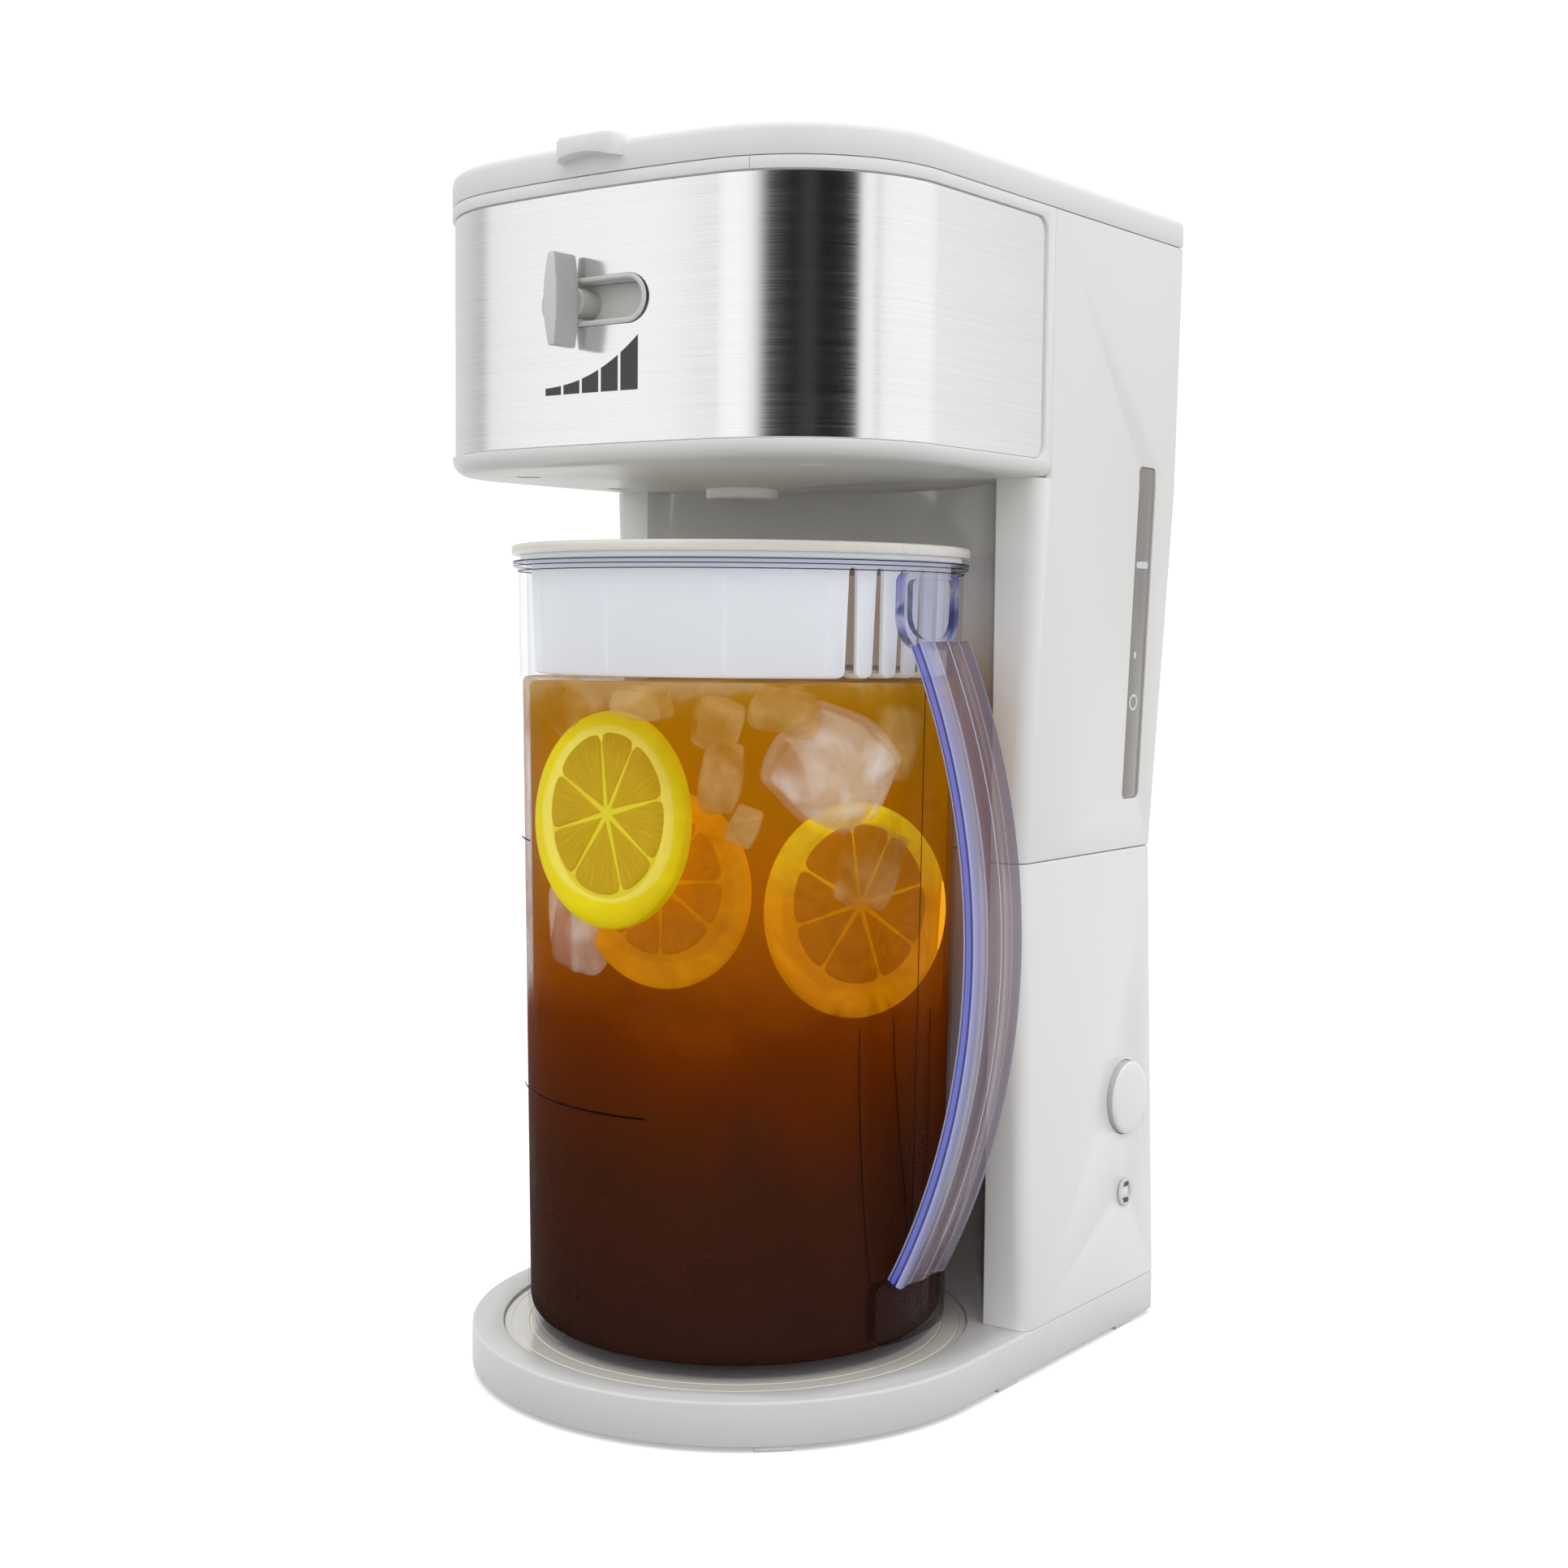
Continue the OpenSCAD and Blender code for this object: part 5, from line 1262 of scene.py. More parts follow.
class TEAMAKER_OT_seat(Operator):
    """Model the seat disc with its turned lines"""

    bl_idname = "teamaker.seat"
    bl_label = "Seat disc"

    def execute(self, context):
        low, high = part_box("seat_disc")
        z0, z1 = low.z / MM, high.z / MM
        r = (high.x - low.x) / MM / 2
        profile = [(0.4, z0), (r - 0.4, z0), (r, z0 + 0.4), (r, z1 - 0.3), (r - 0.3, z1)]
        for line in (74.2, 68.4, 50.0):
            for far, deep in ((0.35, 0), (0.1, 0.16), (-0.1, 0.16), (-0.35, 0)):
                profile.append((line + far, z1 - deep))
        profile += [(30, z1), (0.4, z1)]
        disc = turn("seat_plate", profile, PITCHER_AXIS, 160)
        finish_piece(disc, "machine", FINISH["seat"], 30, ("seat_disc",))
        return {"FINISHED"}


def pitcher_radius(z):
    """Outer radius of the pitcher's wall at height z, in millimetres."""
    sizes = bpy.context.scene.tea_pitcher
    z0 = PITCHER_LOW.z / MM
    low, high = z0 + 10, z0 + sizes.height / MM - 2
    foot, top = sizes.foot / MM, sizes.top / MM
    return foot + (top - foot) * (z - low) / (high - low)


class TEAMAKER_OT_pitcher(Operator):
    """Model the clear pitcher with its rim, foot ring and level lines"""

    bl_idname = "teamaker.pitcher"
    bl_label = "Pitcher"

    def execute(self, context):
        sizes = context.scene.tea_pitcher
        z0 = PITCHER_LOW.z / MM
        rim = z0 + sizes.height / MM
        c, t, top = sizes.corner / MM, sizes.wall / MM, sizes.top / MM
        foot = sizes.foot / MM - c
        rb = pitcher_radius(z0 + c)
        profile = [(0.3, z0 + 1), (foot - 6, z0 + 1), (foot - 5.6, z0 + 0.8)]
        profile += [(foot - 5.1, z0 + 0.15), (foot - 4.6, z0), (foot, z0)]
        for k in range(1, 11):
            a = math.radians(9 * k)
            profile.append((rb - c + c * math.sin(a), z0 + c * (1 - math.cos(a))))
        for k in range(1, 9):
            z = z0 + c + (rim - 3.6 - z0 - c) * k / 8
            profile.append((pitcher_radius(z), z))
        profile += [(pitcher_radius(rim - 3.3) + 0.25, rim - 3.25), (top + 1.5, rim - 2.0)]
        profile += [(top + 1.7, rim - 1.75), (top + 1.7, rim - 0.45)]
        profile += [(top + 1.55, rim - 0.12), (top + 1.2, rim)]
        profile += [(top - t + 0.4, rim), (top - t + 0.1, rim - 0.12), (top - t, rim - 0.4)]
        for k in range(7, -1, -1):
            z = z0 + c + (rim - 3.6 - z0 - c) * k / 8
            profile.append((pitcher_radius(z) - t, z))
        for k in range(9, 0, -1):
            a = math.radians(9 * k)
            profile.append((rb - c + (c - t) * math.sin(a), z0 + c - (c - t) * math.cos(a) + 1))
        profile += [(foot - 6, z0 + 1 + t), (0.3, z0 + 1 + t)]
        body = turn("pitcher_wall", profile, PITCHER_AXIS, 160)
        finish_piece(body, "pitcher", FINISH["clear"], 40, ("pitcher_body",))
        # The rim's and foot's faces take the darker tint, partly painted shade under the lid
        low, high = (z0 + 2.2) * MM, (rim - 3.3) * MM
        second_finish(body, FINISH["rim"], lambda face: not low <= face.center.z <= high)

        # Thin dark rings painted on the rim's bead: painted shade under the lid, and dark lines
        # where the bead bends the light
        for k, (far, z) in enumerate(((1.68, rim - 0.62), (1.52, rim - 2.0), (0.12, rim - 3.5))):
            r = top + far
            edge = [(r, z), (r + 0.09, z + 0.03), (r + 0.09, z + 0.31), (r, z + 0.34)]
            ring = turn(f"rim_line_{k}", edge, PITCHER_AXIS, 128, closed=True)
            finish_piece(ring, "pitcher", FINISH["rim_line"], 40)

        # Raised level lines on the wall
        def line(name, z, a0, a1, rise=0.0, tall=0.35):
            rings = []
            steps = 40
            for k in range(steps + 1):
                angle = math.radians(a0 + (a1 - a0) * k / steps)
                here = z + rise * k / steps
                radius = pitcher_radius(here)
                section = ((-0.05, -tall), (0.16, -tall * 0.6), (0.16, tall * 0.6), (-0.05, tall))
                rings.append([round_spot(radius + dr, angle, here + dz) for dr, dz in section])
            piece = loft(name, rings)
            finish_piece(piece, "pitcher", FINISH["line"], 60)

        line("level_line_high", 175.2, -134, -122)
        line("level_line_low", 94.6, -134, -76)

        # Upright lines of the mould beside the handle
        def seam(name, path):
            section = ((-0.05, -0.22), (0.09, -0.12), (0.09, 0.12), (-0.05, 0.22))
            rings = [
                [round_spot(pitcher_radius(z) + dr, math.radians(a), z, s) for dr, s in section]
                for a, z in path
            ]
            finish_piece(loft(name, rings), "pitcher", FINISH["line"], 60)

        seam("mould_line", [(0, 236 - 8 * k) for k in range(25)])
        seam("panel_line_left", [(-20.8 + 4.8 * (k / 16) ** 2, 122 - 5 * k) for k in range(17)])
        seam("panel_line_right", [(-9.6 + 6.6 * (k / 12) ** 1.5, 124 - 5 * k) for k in range(13)])
        seam("panel_line_far", [(6.8 + 0.5 * k / 12, 124 - 6 * k) for k in range(13)])
        return {"FINISHED"}


class TEAMAKER_OT_handle(Operator):
    """Model the clear blue handle: bowed grip, framed bracket and foot plate"""

    bl_idname = "teamaker.handle"
    bl_label = "Handle"

    def execute(self, context):
        sizes = context.scene.tea_pitcher
        thick, wide, reach = sizes.grip / MM, sizes.grip_width / MM, sizes.reach / MM
        z0 = PITCHER_LOW.z / MM
        rim = z0 + sizes.height / MM
        bracket_z, bracket_h, plate_z, plate_h, pad = rim - 27.4, 23.6, z0 + 7.4, 20.0, 3.2
        ends = (plate_z + plate_h - 2, bracket_z + 3)
        drops = (
            reach - pitcher_radius(ends[0]) - pad - 1.4,
            reach - pitcher_radius(ends[1]) - pad - 4.2,
        )

        def climb(r, d):
            return math.sqrt(d * (2 * r - d))

        bow = 200.0
        for _ in range(14):
            bow *= ((ends[1] - ends[0]) / (climb(bow, drops[0]) + climb(bow, drops[1]))) ** 2
        middle = ends[0] + climb(bow, drops[0])
        low = -math.asin((middle - ends[0]) / bow)
        high = math.asin((ends[1] - middle) / bow)

        # Section of the grip: depth from its inner face, place across it, and how far round
        r, half = 1.1, wide / 2

        groove, sink, bend = 4.3, 0.6, 16

        def depth(v):
            """How thick the grip is at v across it, with its two shallow grooves."""
            d = 0.0
            for side in (-1, 1):
                off = abs(v - side * half / 2)
                if off < groove:
                    d = max(d, sink - (bend - math.sqrt(bend * bend - off * off)))
            return thick - d

        flat, side = 2 * half - 2 * r, thick - 2 * r
        corner_turns = [(math.radians(22.5 * k), 0.05 * k) for k in range(1, 5)]
        section = [(0.0, -v * (half - r) / 6, -0.5 + v * 0.4 / 6) for v in range(7)]
        for a, step in corner_turns:
            section.append((r - r * math.cos(a), -half + r - r * math.sin(a), -0.1 + step))
        section += [(r + side * k / 6, -half, 0.1 + 0.8 * k / 6) for k in range(1, 7)]
        for a, step in corner_turns:
            section.append((thick - r + r * math.sin(a), -half + r - r * math.cos(a), 0.9 + step))
        for v in [-half + r + flat * k / 40 for k in range(1, 41)]:
            section.append((depth(v), v, 1.1 + 0.8 * (v + half - r) / flat))
        for a, step in corner_turns:
            section.append((thick - r + r * math.cos(a), half - r + r * math.sin(a), 1.9 + step))
        section += [(thick - r - side * k / 6, half, 2.1 + 0.8 * k / 6) for k in range(1, 7)]
        for a, step in corner_turns:
            section.append((r - r * math.sin(a), half - r + r * math.cos(a), 2.9 + step))
        for v in range(1, 7):
            section.append((0.0, max(0.02, (half - r) * (1 - v / 6)), 3.1 + 0.4 * v / 6))

        rings = []
        steps = 90
        for k in range(steps + 1):
            a = low + (high - low) * k / steps
            rings.append(
                [
                    spot(
                        reach - bow + (bow - thick + u) * math.cos(a),
                        AXIS_Y + v,
                        middle + (bow - thick + u) * math.sin(a),
                    )
                    for u, v, _ in section
                ]
            )
        grip = loft("handle_grip", rings)
        around = grip.data.attributes.new("around", "FLOAT", "POINT")
        corner = grip.data.attributes["corner"]
        for i in range(len(grip.data.vertices)):
            around.data[i].value = section[corner.data[i].value][2]
        finish_piece(grip, "pitcher", FINISH["grip"], 40, ("pitcher_handle",))

        def shield(width, height, top_r, low_r, centre_z):
            points = []
            for k, (sy, sz) in enumerate(CORNERS):
                q = top_r if sz > 0 else low_r
                y, z = AXIS_Y + sy * (width / 2 - q), centre_z + sz * (height / 2 - q)
                points += arc(y, z, q, 90 * k, 90 * k + 90, 12)
            return points

        def shell(name, inner, outer, a, b):
            return turn(
                name,
                [
                    (pitcher_radius(a) + inner, a), (pitcher_radius(a) + outer, a),
                    (pitcher_radius(b) + outer, b), (pitcher_radius(b) + inner, b),
                ],
                PITCHER_AXIS,
                192,
                closed=True,
            )

        def trim(piece, outline):
            carve(piece, side_prism("trim", outline, 1, 110), "INTERSECT")

        def plate(name, width, height, z, low_r, field):
            piece = shell(name, 0.06, pad, z - 2, z + height + 2)
            trim(piece, shield(width, height, 3, low_r, z + height / 2))
            mid = z + height / 2 + 0.8
            if field:
                tool = shell("pocket", 1.3, pad + 4, z - 2, z + height + 2)
                trim(tool, shield(width - 7, height - 5.4, 2.4, 8.0, mid))
                carve(piece, tool)
            tidy(piece, 1e-6)
            soften(piece, 0.55, 3, 50)
            finish_piece(piece, "pitcher", FINISH["pane"], 40)
            piece.data.materials.append(FINISH["blue_edge"])
            piece.data.materials.append(FINISH["dark_edge"])
            middle = spot(0, AXIS_Y, mid)
            # Side faces take the blue edges, and the pocket's inward walls the dimmed copy as
            # painted shade
            for face in piece.data.polygons:
                if abs(face.normal.dot(from_axis(face.center).normalized())) < 0.86:
                    inward = Vector((0, middle.y - face.center.y, middle.z - face.center.z))
                    face.material_index = 2 if field and face.normal.dot(inward) > 0 else 1
            return piece

        plate("handle_bracket", 31, bracket_h, bracket_z, 10.5, True)
        foot = plate("handle_foot", 40, plate_h, plate_z, 4.5, False)
        foot.data.materials[1] = FINISH["foot_edge"]
        return {"FINISHED"}


class TEAMAKER_OT_basket(Operator):
    """Model the brew basket with its comb of pouring slots, and its strainer"""

    bl_idname = "teamaker.basket"
    bl_label = "Brew basket"

    def execute(self, context):
        low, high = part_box("brew_basket")
        z0, z1 = low.z / MM, high.z / MM
        rim = z1 - 1.5
        # The basket's wall stands inside the pitcher's, with a little play
        pitcher, wall, play, thick = 72.3, 2.6, 1.5, 1.6
        out = pitcher - wall - play
        inner = out - thick
        profile = [
            (out - 9.2, z0), (out - 2.4, z0), (out - 1.6, z0 + 0.25), (out - 1.2, z0 + 1.0),
            (out, rim - 1.0), (out, rim + 0.1), (71.5, rim + 0.1), (71.7, rim + 0.3),
            (71.7, z1 - 0.2), (71.5, z1), (inner, z1), (inner - 1.2, z0 + 1.6),
            (out - 9.2, z0 + 1.6),
        ]
        basket = turn("basket_wall", profile, PITCHER_AXIS, 144, closed=True)
        # Seven slots that widen downwards, with round heads, and fingers with round ends between
        half, foot_half, low_z, head, finger = 1.5, 2.1, z0 - 1, z1 - 5.5, 2.5
        for k in range(7):
            angle = math.radians(67 + 8.6 * k - 90)
            side = [(foot_half + finger, low_z)]
            for i in range(7):
                a = math.radians(15 * i)
                x = foot_half + finger * (1 - math.sin(a))
                side.append((x, z0 + finger * (1 - math.cos(a))))
            side.append((half, head))
            over = [math.radians(18 * i) for i in range(1, 10)]
            over = [(half * math.cos(a), head + half * math.sin(a)) for a in over]
            outline = side + over + [(-x, z) for x, z in reversed(side)]
            rings = [
                [round_spot(radius, angle, z, s) for s, z in outline]
                for radius in (inner - 9.5, out + 4)
            ]
            carve(basket, loft("slot", rings))
        tidy(basket, 1e-6)
        soften(basket, 0.3, 2, 50)
        finish_piece(basket, "basket", FINISH["basket"], 40)

        def inside(face):
            inward = face.normal.dot(from_axis(face.center).normalized()) < -0.5
            return inward and face.center.z > (z0 + 2) * MM

        # The basket's inner faces take a brownish tone
        second_finish(basket, FINISH["stained"], inside)
        # Upright ribs on the outside
        for degrees in (0, 33, 60, 180, 213, 240, 300, 330):
            angle = math.radians(degrees - 90)
            rings = []
            for z, d in ((z0 + 1, 0.0), (z0 + 2, 0.35), (z0 + 29, 0.35), (z0 + 31, 0.0)):
                base = out - 1.2 + 1.2 * (z - z0) / 35
                section = ((-0.5, -0.8), (d, -0.45), (d + 0.15, 0.0), (d, 0.45), (-0.5, 0.8))
                rings.append([round_spot(base + dr, angle, z, s) for dr, s in section])
            rib = loft(f"basket_rib_{degrees}", rings)
            finish_piece(rib, "basket", FINISH["basket"], 40)
        # Spokes and ring of the floor
        ring = [(36, z0), (40, z0), (40, z0 + 1.6), (36, z0 + 1.6)]
        spokes = turn("basket_floor", ring, PITCHER_AXIS, 96, closed=True)
        for k in range(3):
            angle = math.radians(60 * k)
            corners = ((-60, -2), (60, -2), (60, 2), (-60, 2))
            ring = [round_spot(s, angle, z0 + 0.01, t) for s, t in corners]
            bar = loft("bar", [ring, [p + Vector((0, 0, 1.58 * MM)) for p in ring]])
            carve(spokes, bar, "UNION")
        finish_piece(spokes, "basket", FINISH["basket"], 40)
        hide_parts("brew_basket")
        return {"FINISHED"}


class TEAMAKER_OT_pitcher_lid(Operator):
    """Model the pitcher's cream lid with its dished middle and pouring hole"""

    bl_idname = "teamaker.pitcher_lid"
    bl_label = "Pitcher lid"

    def execute(self, context):
        low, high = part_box("pitcher_lid")
        r = (high.x - low.x) / MM / 2
        z0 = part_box("brew_basket")[1].z / MM + 0.1
        z1 = z0 + 3.4
        ring, hole = 66.1, 14.0
        profile = [(hole, z0 - 2.6), (hole + 1.6, z0 - 2.6), (hole + 6, z0 + 0.6), (40, z0 + 1.2)]
        profile += [(ring - 1.6, z1 - 1.8), (ring - 1.6, z0 - 4), (ring - 0.4, z0 - 4)]
        profile += [(ring, z0 - 3.6), (ring, z0), (r - 0.5, z0), (r - 0.15, z0 + 0.12)]
        profile += [(r, z0 + 0.45), (r, z1 - 1.2), (r - 0.12, z1 - 0.7), (r - 0.4, z1 - 0.3)]
        profile += [(r - 0.85, z1 - 0.06), (r - 1.4, z1), (66, z1 + 0.25), (58, z1 + 0.5)]
        profile += [(46, z1 + 0.72), (34, z1 + 0.9), (31, z1 + 0.85), (27, z1 + 0.2)]
        profile += [(22, z0 + 2.0), (hole + 4, z0 + 1.4), (hole + 1, z0 + 0.2), (hole, z0 - 0.8)]
        lid = turn("pitcher_lid_top", profile, PITCHER_AXIS, 160, closed=True)
        finish_piece(lid, "cover", FINISH["cream"], 40, ("pitcher_lid",))
        return {"FINISHED"}


def way(start, end, steps):
    """The first steps of five from one flat point to another, without the start."""
    return [
        (start[0] + (end[0] - start[0]) * i / 5, start[1] + (end[1] - start[1]) * i / 5)
        for i in range(1, steps + 1)
    ]


def lemon_slice(name, centre, facing, spin, radius, tone):
    """A slice of lemon: peel, pith, and wedges of pulp with pale walls between them."""
    count = bpy.context.scene.tea_pitcher.segments
    r, thick, lift = radius / MM, 4.0, 2.0
    profile = [(0.3, 0), (r - 1.2, 0), (r - 0.3, 0.5), (r, 1.6), (r, thick - 1.6)]
    profile += [(r - 0.3, thick - 0.5), (r - 1.2, thick)]
    # More rings where the peel pales into pith
    profile += [(r - d, thick + 0.05) for d in (2.6, 3.6, 4.4, 5.2, 6.2, 7.4, 8.6, 10.0)]
    profile += [(0.3, thick + 0.05)]
    disc = turn(name, profile, Vector((0, 0, 0)), 96)
    peel = disc.data.attributes.new("peel", "FLOAT", "POINT")
    for vert in disc.data.vertices:
        x, y = vert.co.x / MM, vert.co.y / MM
        low = max(0.0, -y / max(math.hypot(x, y), 1e-6)) ** 3
        inner = r - 4.4 - 4.6 * low
        far = math.hypot(x, y)
        share = min(1.0, max(0.0, (far - inner + 1.0) / 2.0))
        peel.data[vert.index].value = share - min(1.0, max(0.0, (r - 8.4 - far) / 1.4))
    pieces = [(disc, tone["peel"])]
    outer = r - 8.8
    edges = [math.tau * (k + 0.12 * math.sin(2.3 * k)) / count + spin for k in range(count)]
    for k in range(count):
        start, stop = edges[k], edges[(k + 1) % count] + (math.tau if k == count - 1 else 0)
        middle, half = (start + stop) / 2, (stop - start) / 2 * 0.965
        rim = []
        for i in range(25):
            share = -1 + i / 12
            reach = outer * (0.88 + 0.12 * (1 - abs(share) ** 5) ** 0.3)
            a = middle + half * share
            rim.append((reach * math.cos(a), reach * math.sin(a)))
        tip = (2.4 * math.cos(middle), 2.4 * math.sin(middle))
        path = rim + way(rim[-1], tip, 5) + way(tip, rim[0], 4)
        cx, cy = sum(p[0] for p in path) / len(path), sum(p[1] for p in path) / len(path)
        steps = ((1.0, -1.0), (1.0, 0.12), (0.965, 0.3), (0.90, 0.38), (0.5, 0.42), (0.1, 0.42))
        rings = [
            [
                Vector(
                    (
                        (cx + (x - cx) * size) * MM,
                        (cy + (y - cy) * size + lift) * MM,
                        (thick + z) * MM,
                    )
                )
                for x, y in path
            ]
            for size, z in steps
        ]
        wedge = loft(f"{name}_pulp_{k}", rings)
        sacs = wedge.data.uv_layers.new(name="sacs")
        for loop in wedge.data.loops:
            co = wedge.data.vertices[loop.vertex_index].co
            angle = math.atan2(co.y - lift * MM, co.x) - middle
            angle = (angle + math.pi) % math.tau - math.pi
            sacs.data[loop.index].uv = (angle * outer * MM, co.xy.length)
        pieces.append((wedge, tone["pulp"]))
    place = (
        Matrix.Translation(centre)
        @ facing.to_track_quat("Z", "Y").to_matrix().to_4x4()
        @ Matrix.Translation((0, 0, -thick / 2 * MM))
    )
    for piece, finish in pieces:
        finish_piece(piece, "pitcher", finish, 45)
        piece.data.transform(place)
        piece.data.update()


def ice_lump(name, centre, size, turn_by, seed, finish):
    """A lump of ice: a cube that has melted round, with its own dents."""
    bpy.ops.object.select_all(action="DESELECT")
    bpy.ops.mesh.primitive_cube_add(size=1, location=(0, 0, 0))
    lump = bpy.context.object
    lump.name = lump.data.name = name
    edit(lump)
    bpy.ops.mesh.select_all(action="SELECT")
    bpy.ops.mesh.subdivide(number_cuts=7)
    bpy.ops.transform.tosphere(value=0.42)
    leave_edit()
    for vert in lump.data.vertices:
        p = vert.co
        wave = math.sin(7.1 * p.x + seed) + math.sin(8.3 * p.y + 1.7 * seed)
        wave += math.sin(6.2 * p.z + 2.9 * seed)
        vert.co = p * (1 + 0.045 * wave)
    step = lump.modifiers.new("round", "SUBSURF")
    step.levels = step.render_levels = 1
    select_only(lump)
    bpy.ops.object.modifier_apply(modifier=step.name)
    lump.data.transform(
        Matrix.Translation(centre)
        @ Matrix.Rotation(turn_by[0], 4, "Z")
        @ Matrix.Rotation(turn_by[1], 4, "X")
        @ Matrix.Rotation(turn_by[2], 4, "Y")
        @ Matrix.Diagonal((size[0] * MM, size[1] * MM, size[2] * MM, 1))
    )
    finish_piece(lump, "pitcher", finish, 60)


class TEAMAKER_OT_drink(Operator):
    """Model the tea, the lemon slices and the ice in the pitcher"""

    bl_idname = "teamaker.drink"
    bl_label = "Tea, lemon and ice"

    def execute(self, context):
        sizes = context.scene.tea_pitcher
        shades = context.scene.tea_finishes
        t, top = sizes.wall / MM, sizes.tea / MM
        z0 = PITCHER_LOW.z / MM
        floor = z0 + 1 + t

        def inside(z):
            # The wall's own bending of light makes the tea fill it almost to its outer face
            return pitcher_radius(z) - 0.5

        def smooth(value, low, high):
            share = min(1.0, max(0.0, (value - low) / (high - low)))
            return share * share * (3 - 2 * share)

        def filling(name, dent, roof):
            """Tea up to roof. The dent is how far its face lies inside the wall."""
            steps = 144
            turns = [math.tau * k / steps for k in range(steps)]

            def middle(z):
                return [round_spot(0.3, a, z) for a in turns]

            def ring(z, shrink):
                wide = inside(max(z, floor + 8)) - shrink
                return [round_spot(wide - dent(a, z), a, z) for a in turns]

            rings = [middle(floor + 0.3), ring(floor + 0.3, 6.4)]
            for k in range(1, 5):
                a = math.radians(22.5 * k)
                rings.append(ring(floor + 0.3 + 6.0 * (1 - math.cos(a)), 6.4 - 6.0 * math.sin(a)))
            z = floor + 12
            while z < roof - 2:
                rings.append(ring(z, 0.4))
                z += 2.5 if 100 < z < 128 else 8.0
            rings += [ring(roof - 1.0, 0.4), ring(roof, 1.2), ring(roof + 0.05, 3.0)]
            return loft(name, rings + [middle(roof + 0.05)])

        def recess(a, z):
            """Where slices and ice lie before the heart, its face lies further inside."""
            degrees = (math.degrees(a) + 180) % 360 - 180
            front = smooth(degrees, -134, -125) * (1 - smooth(degrees, 16, 27))
            back = smooth(degrees % 360, 44, 56) * (1 - smooth(degrees % 360, 200, 212))
            return 2.2 + 28 * max(front, back) * smooth(z, 106, 120)

        heart = filling("tea_heart", recess, top - 1.5)
        finish_piece(heart, "pitcher", tea_heart("tea_heart"), 60)
        main = spot(-8.2, -79.0, 183.2)
        veil = filling("tea_veil", lambda a, z: 0.0, top)
        clearings = ((main, sizes.lemon, 0.10), (spot(56.0, -51.0, 200.0), 17 * MM, 0.12))
        finish_piece(veil, "pitcher", tea_veil("tea_veil", clearings), 60)

        def tone(name, peel, flesh, pulp, lights, crest=None):
            return {
                "peel": lemon_skin(f"{name}_peel", peel, flesh, lights[0], crest),
                "pulp": lemon_flesh(f"{name}_pulp", pulp, lights[1]),
            }

        paint = screen_colour
        crisp = [tuple(shade) for shade in (shades.rind, shades.pith, shades.pulp)]
        # The last pair of each tone is the painted glow of its peel and its pulp
        crisp = tone("lemon", *crisp, (0.34, 0.20))
        deep = [paint(232, 156, 0), paint(220, 142, 0), paint(196, 120, 0)]
        deep = tone("deep", *deep, (0.52, 0.40))
        third = [paint(240, 158, 0), paint(228, 144, 0), paint(196, 116, 0)]
        third = tone("third", *third, (0.60, 0.40), paint(250, 226, 30))
        for name, centre, facing, spin, radius, finish in (
            ("lemon_main", main, (-0.10, -0.994, 0.05), 0.25, sizes.lemon, crisp),
            ("lemon_second", spot(3.0, -67.0, 161.5), (0.12, -0.99, 0.03), 0.9, 31.5 * MM, deep),
            ("lemon_third", spot(55.0, -35.5, 156.0), (0.93, -0.36, 0.06), 0.2, 33.5 * MM, third),
            ("lemon_fourth", spot(-34.0, 22.0, 168.0), (-0.6, 0.8, 0.1), 1.4, 31 * MM, deep),
        ):
            lemon_slice(name, centre, Vector(facing), spin, radius, finish)

        near = ice_finish("cloudy_ice", paint(188, 160, 128), paint(226, 218, 208), 0.46, 1.0)
        deeper = ice_finish("sunken_ice", paint(176, 120, 24), paint(226, 196, 132), 0.40, 0.72)
        # Middle, size, turns and seed of each lump. The first and the sixth lie at the wall
        lumps = (
            ((50.0, -42.5, 200.0), (35, 19, 33), (0.7, 0.1, 0.6), 1.0),
            ((28.0, -72.0, 214.0), (15, 12, 14), (0.5, 0.2, 0.2), 2.1),
            ((28.0, -70.0, 198.0), (12, 11, 22), (0.5, 0.2, 0.15), 2.9),
            ((34.0, -66.0, 183.0), (9, 9, 12), (0.5, 0.2, 0.4), 5.1),
            ((55.0, -33.0, 171.0), (20, 16, 26), (1.1, 0.2, 0.3), 3.3),
            ((-30.0, -69.0, 147.0), (19, 14, 27), (-0.4, 0.1, 0.2), 4.2),
            ((44.0, -59.0, 218.0), (20, 14, 12), (0.7, 0.3, 0.2), 5.4),
            ((-30.0, -71.0, 216.0), (18, 12, 18), (-0.4, 0.3, 0.4), 6.1),
            ((4.0, -79.0, 220.0), (20, 10, 9), (0.1, 0.2, 0.1), 7.7),
            ((-48.0, -40.0, 194.0), (16, 18, 26), (0.3, 0.2, 0.2), 8.2),
            ((60.0, -24.0, 208.0), (14, 12, 22), (1.2, 0.2, 0.2), 12.2),
            ((-46.0, 4.0, 208.0), (20, 18, 26), (0.8, 0.3, 0.5), 9.5),
            ((4.0, 32.0, 200.0), (28, 18, 26), (0.2, 0.4, 0.3), 10.3),
            ((46.0, 6.0, 204.0), (20, 18, 24), (1.0, 0.3, 0.4), 11.6),
        )
        for k, (where, size, turn_by, seed) in enumerate(lumps):
            ice_lump(f"ice_{k}", spot(*where), size, turn_by, seed, near if k in (0, 5) else deeper)
        return {"FINISHED"}


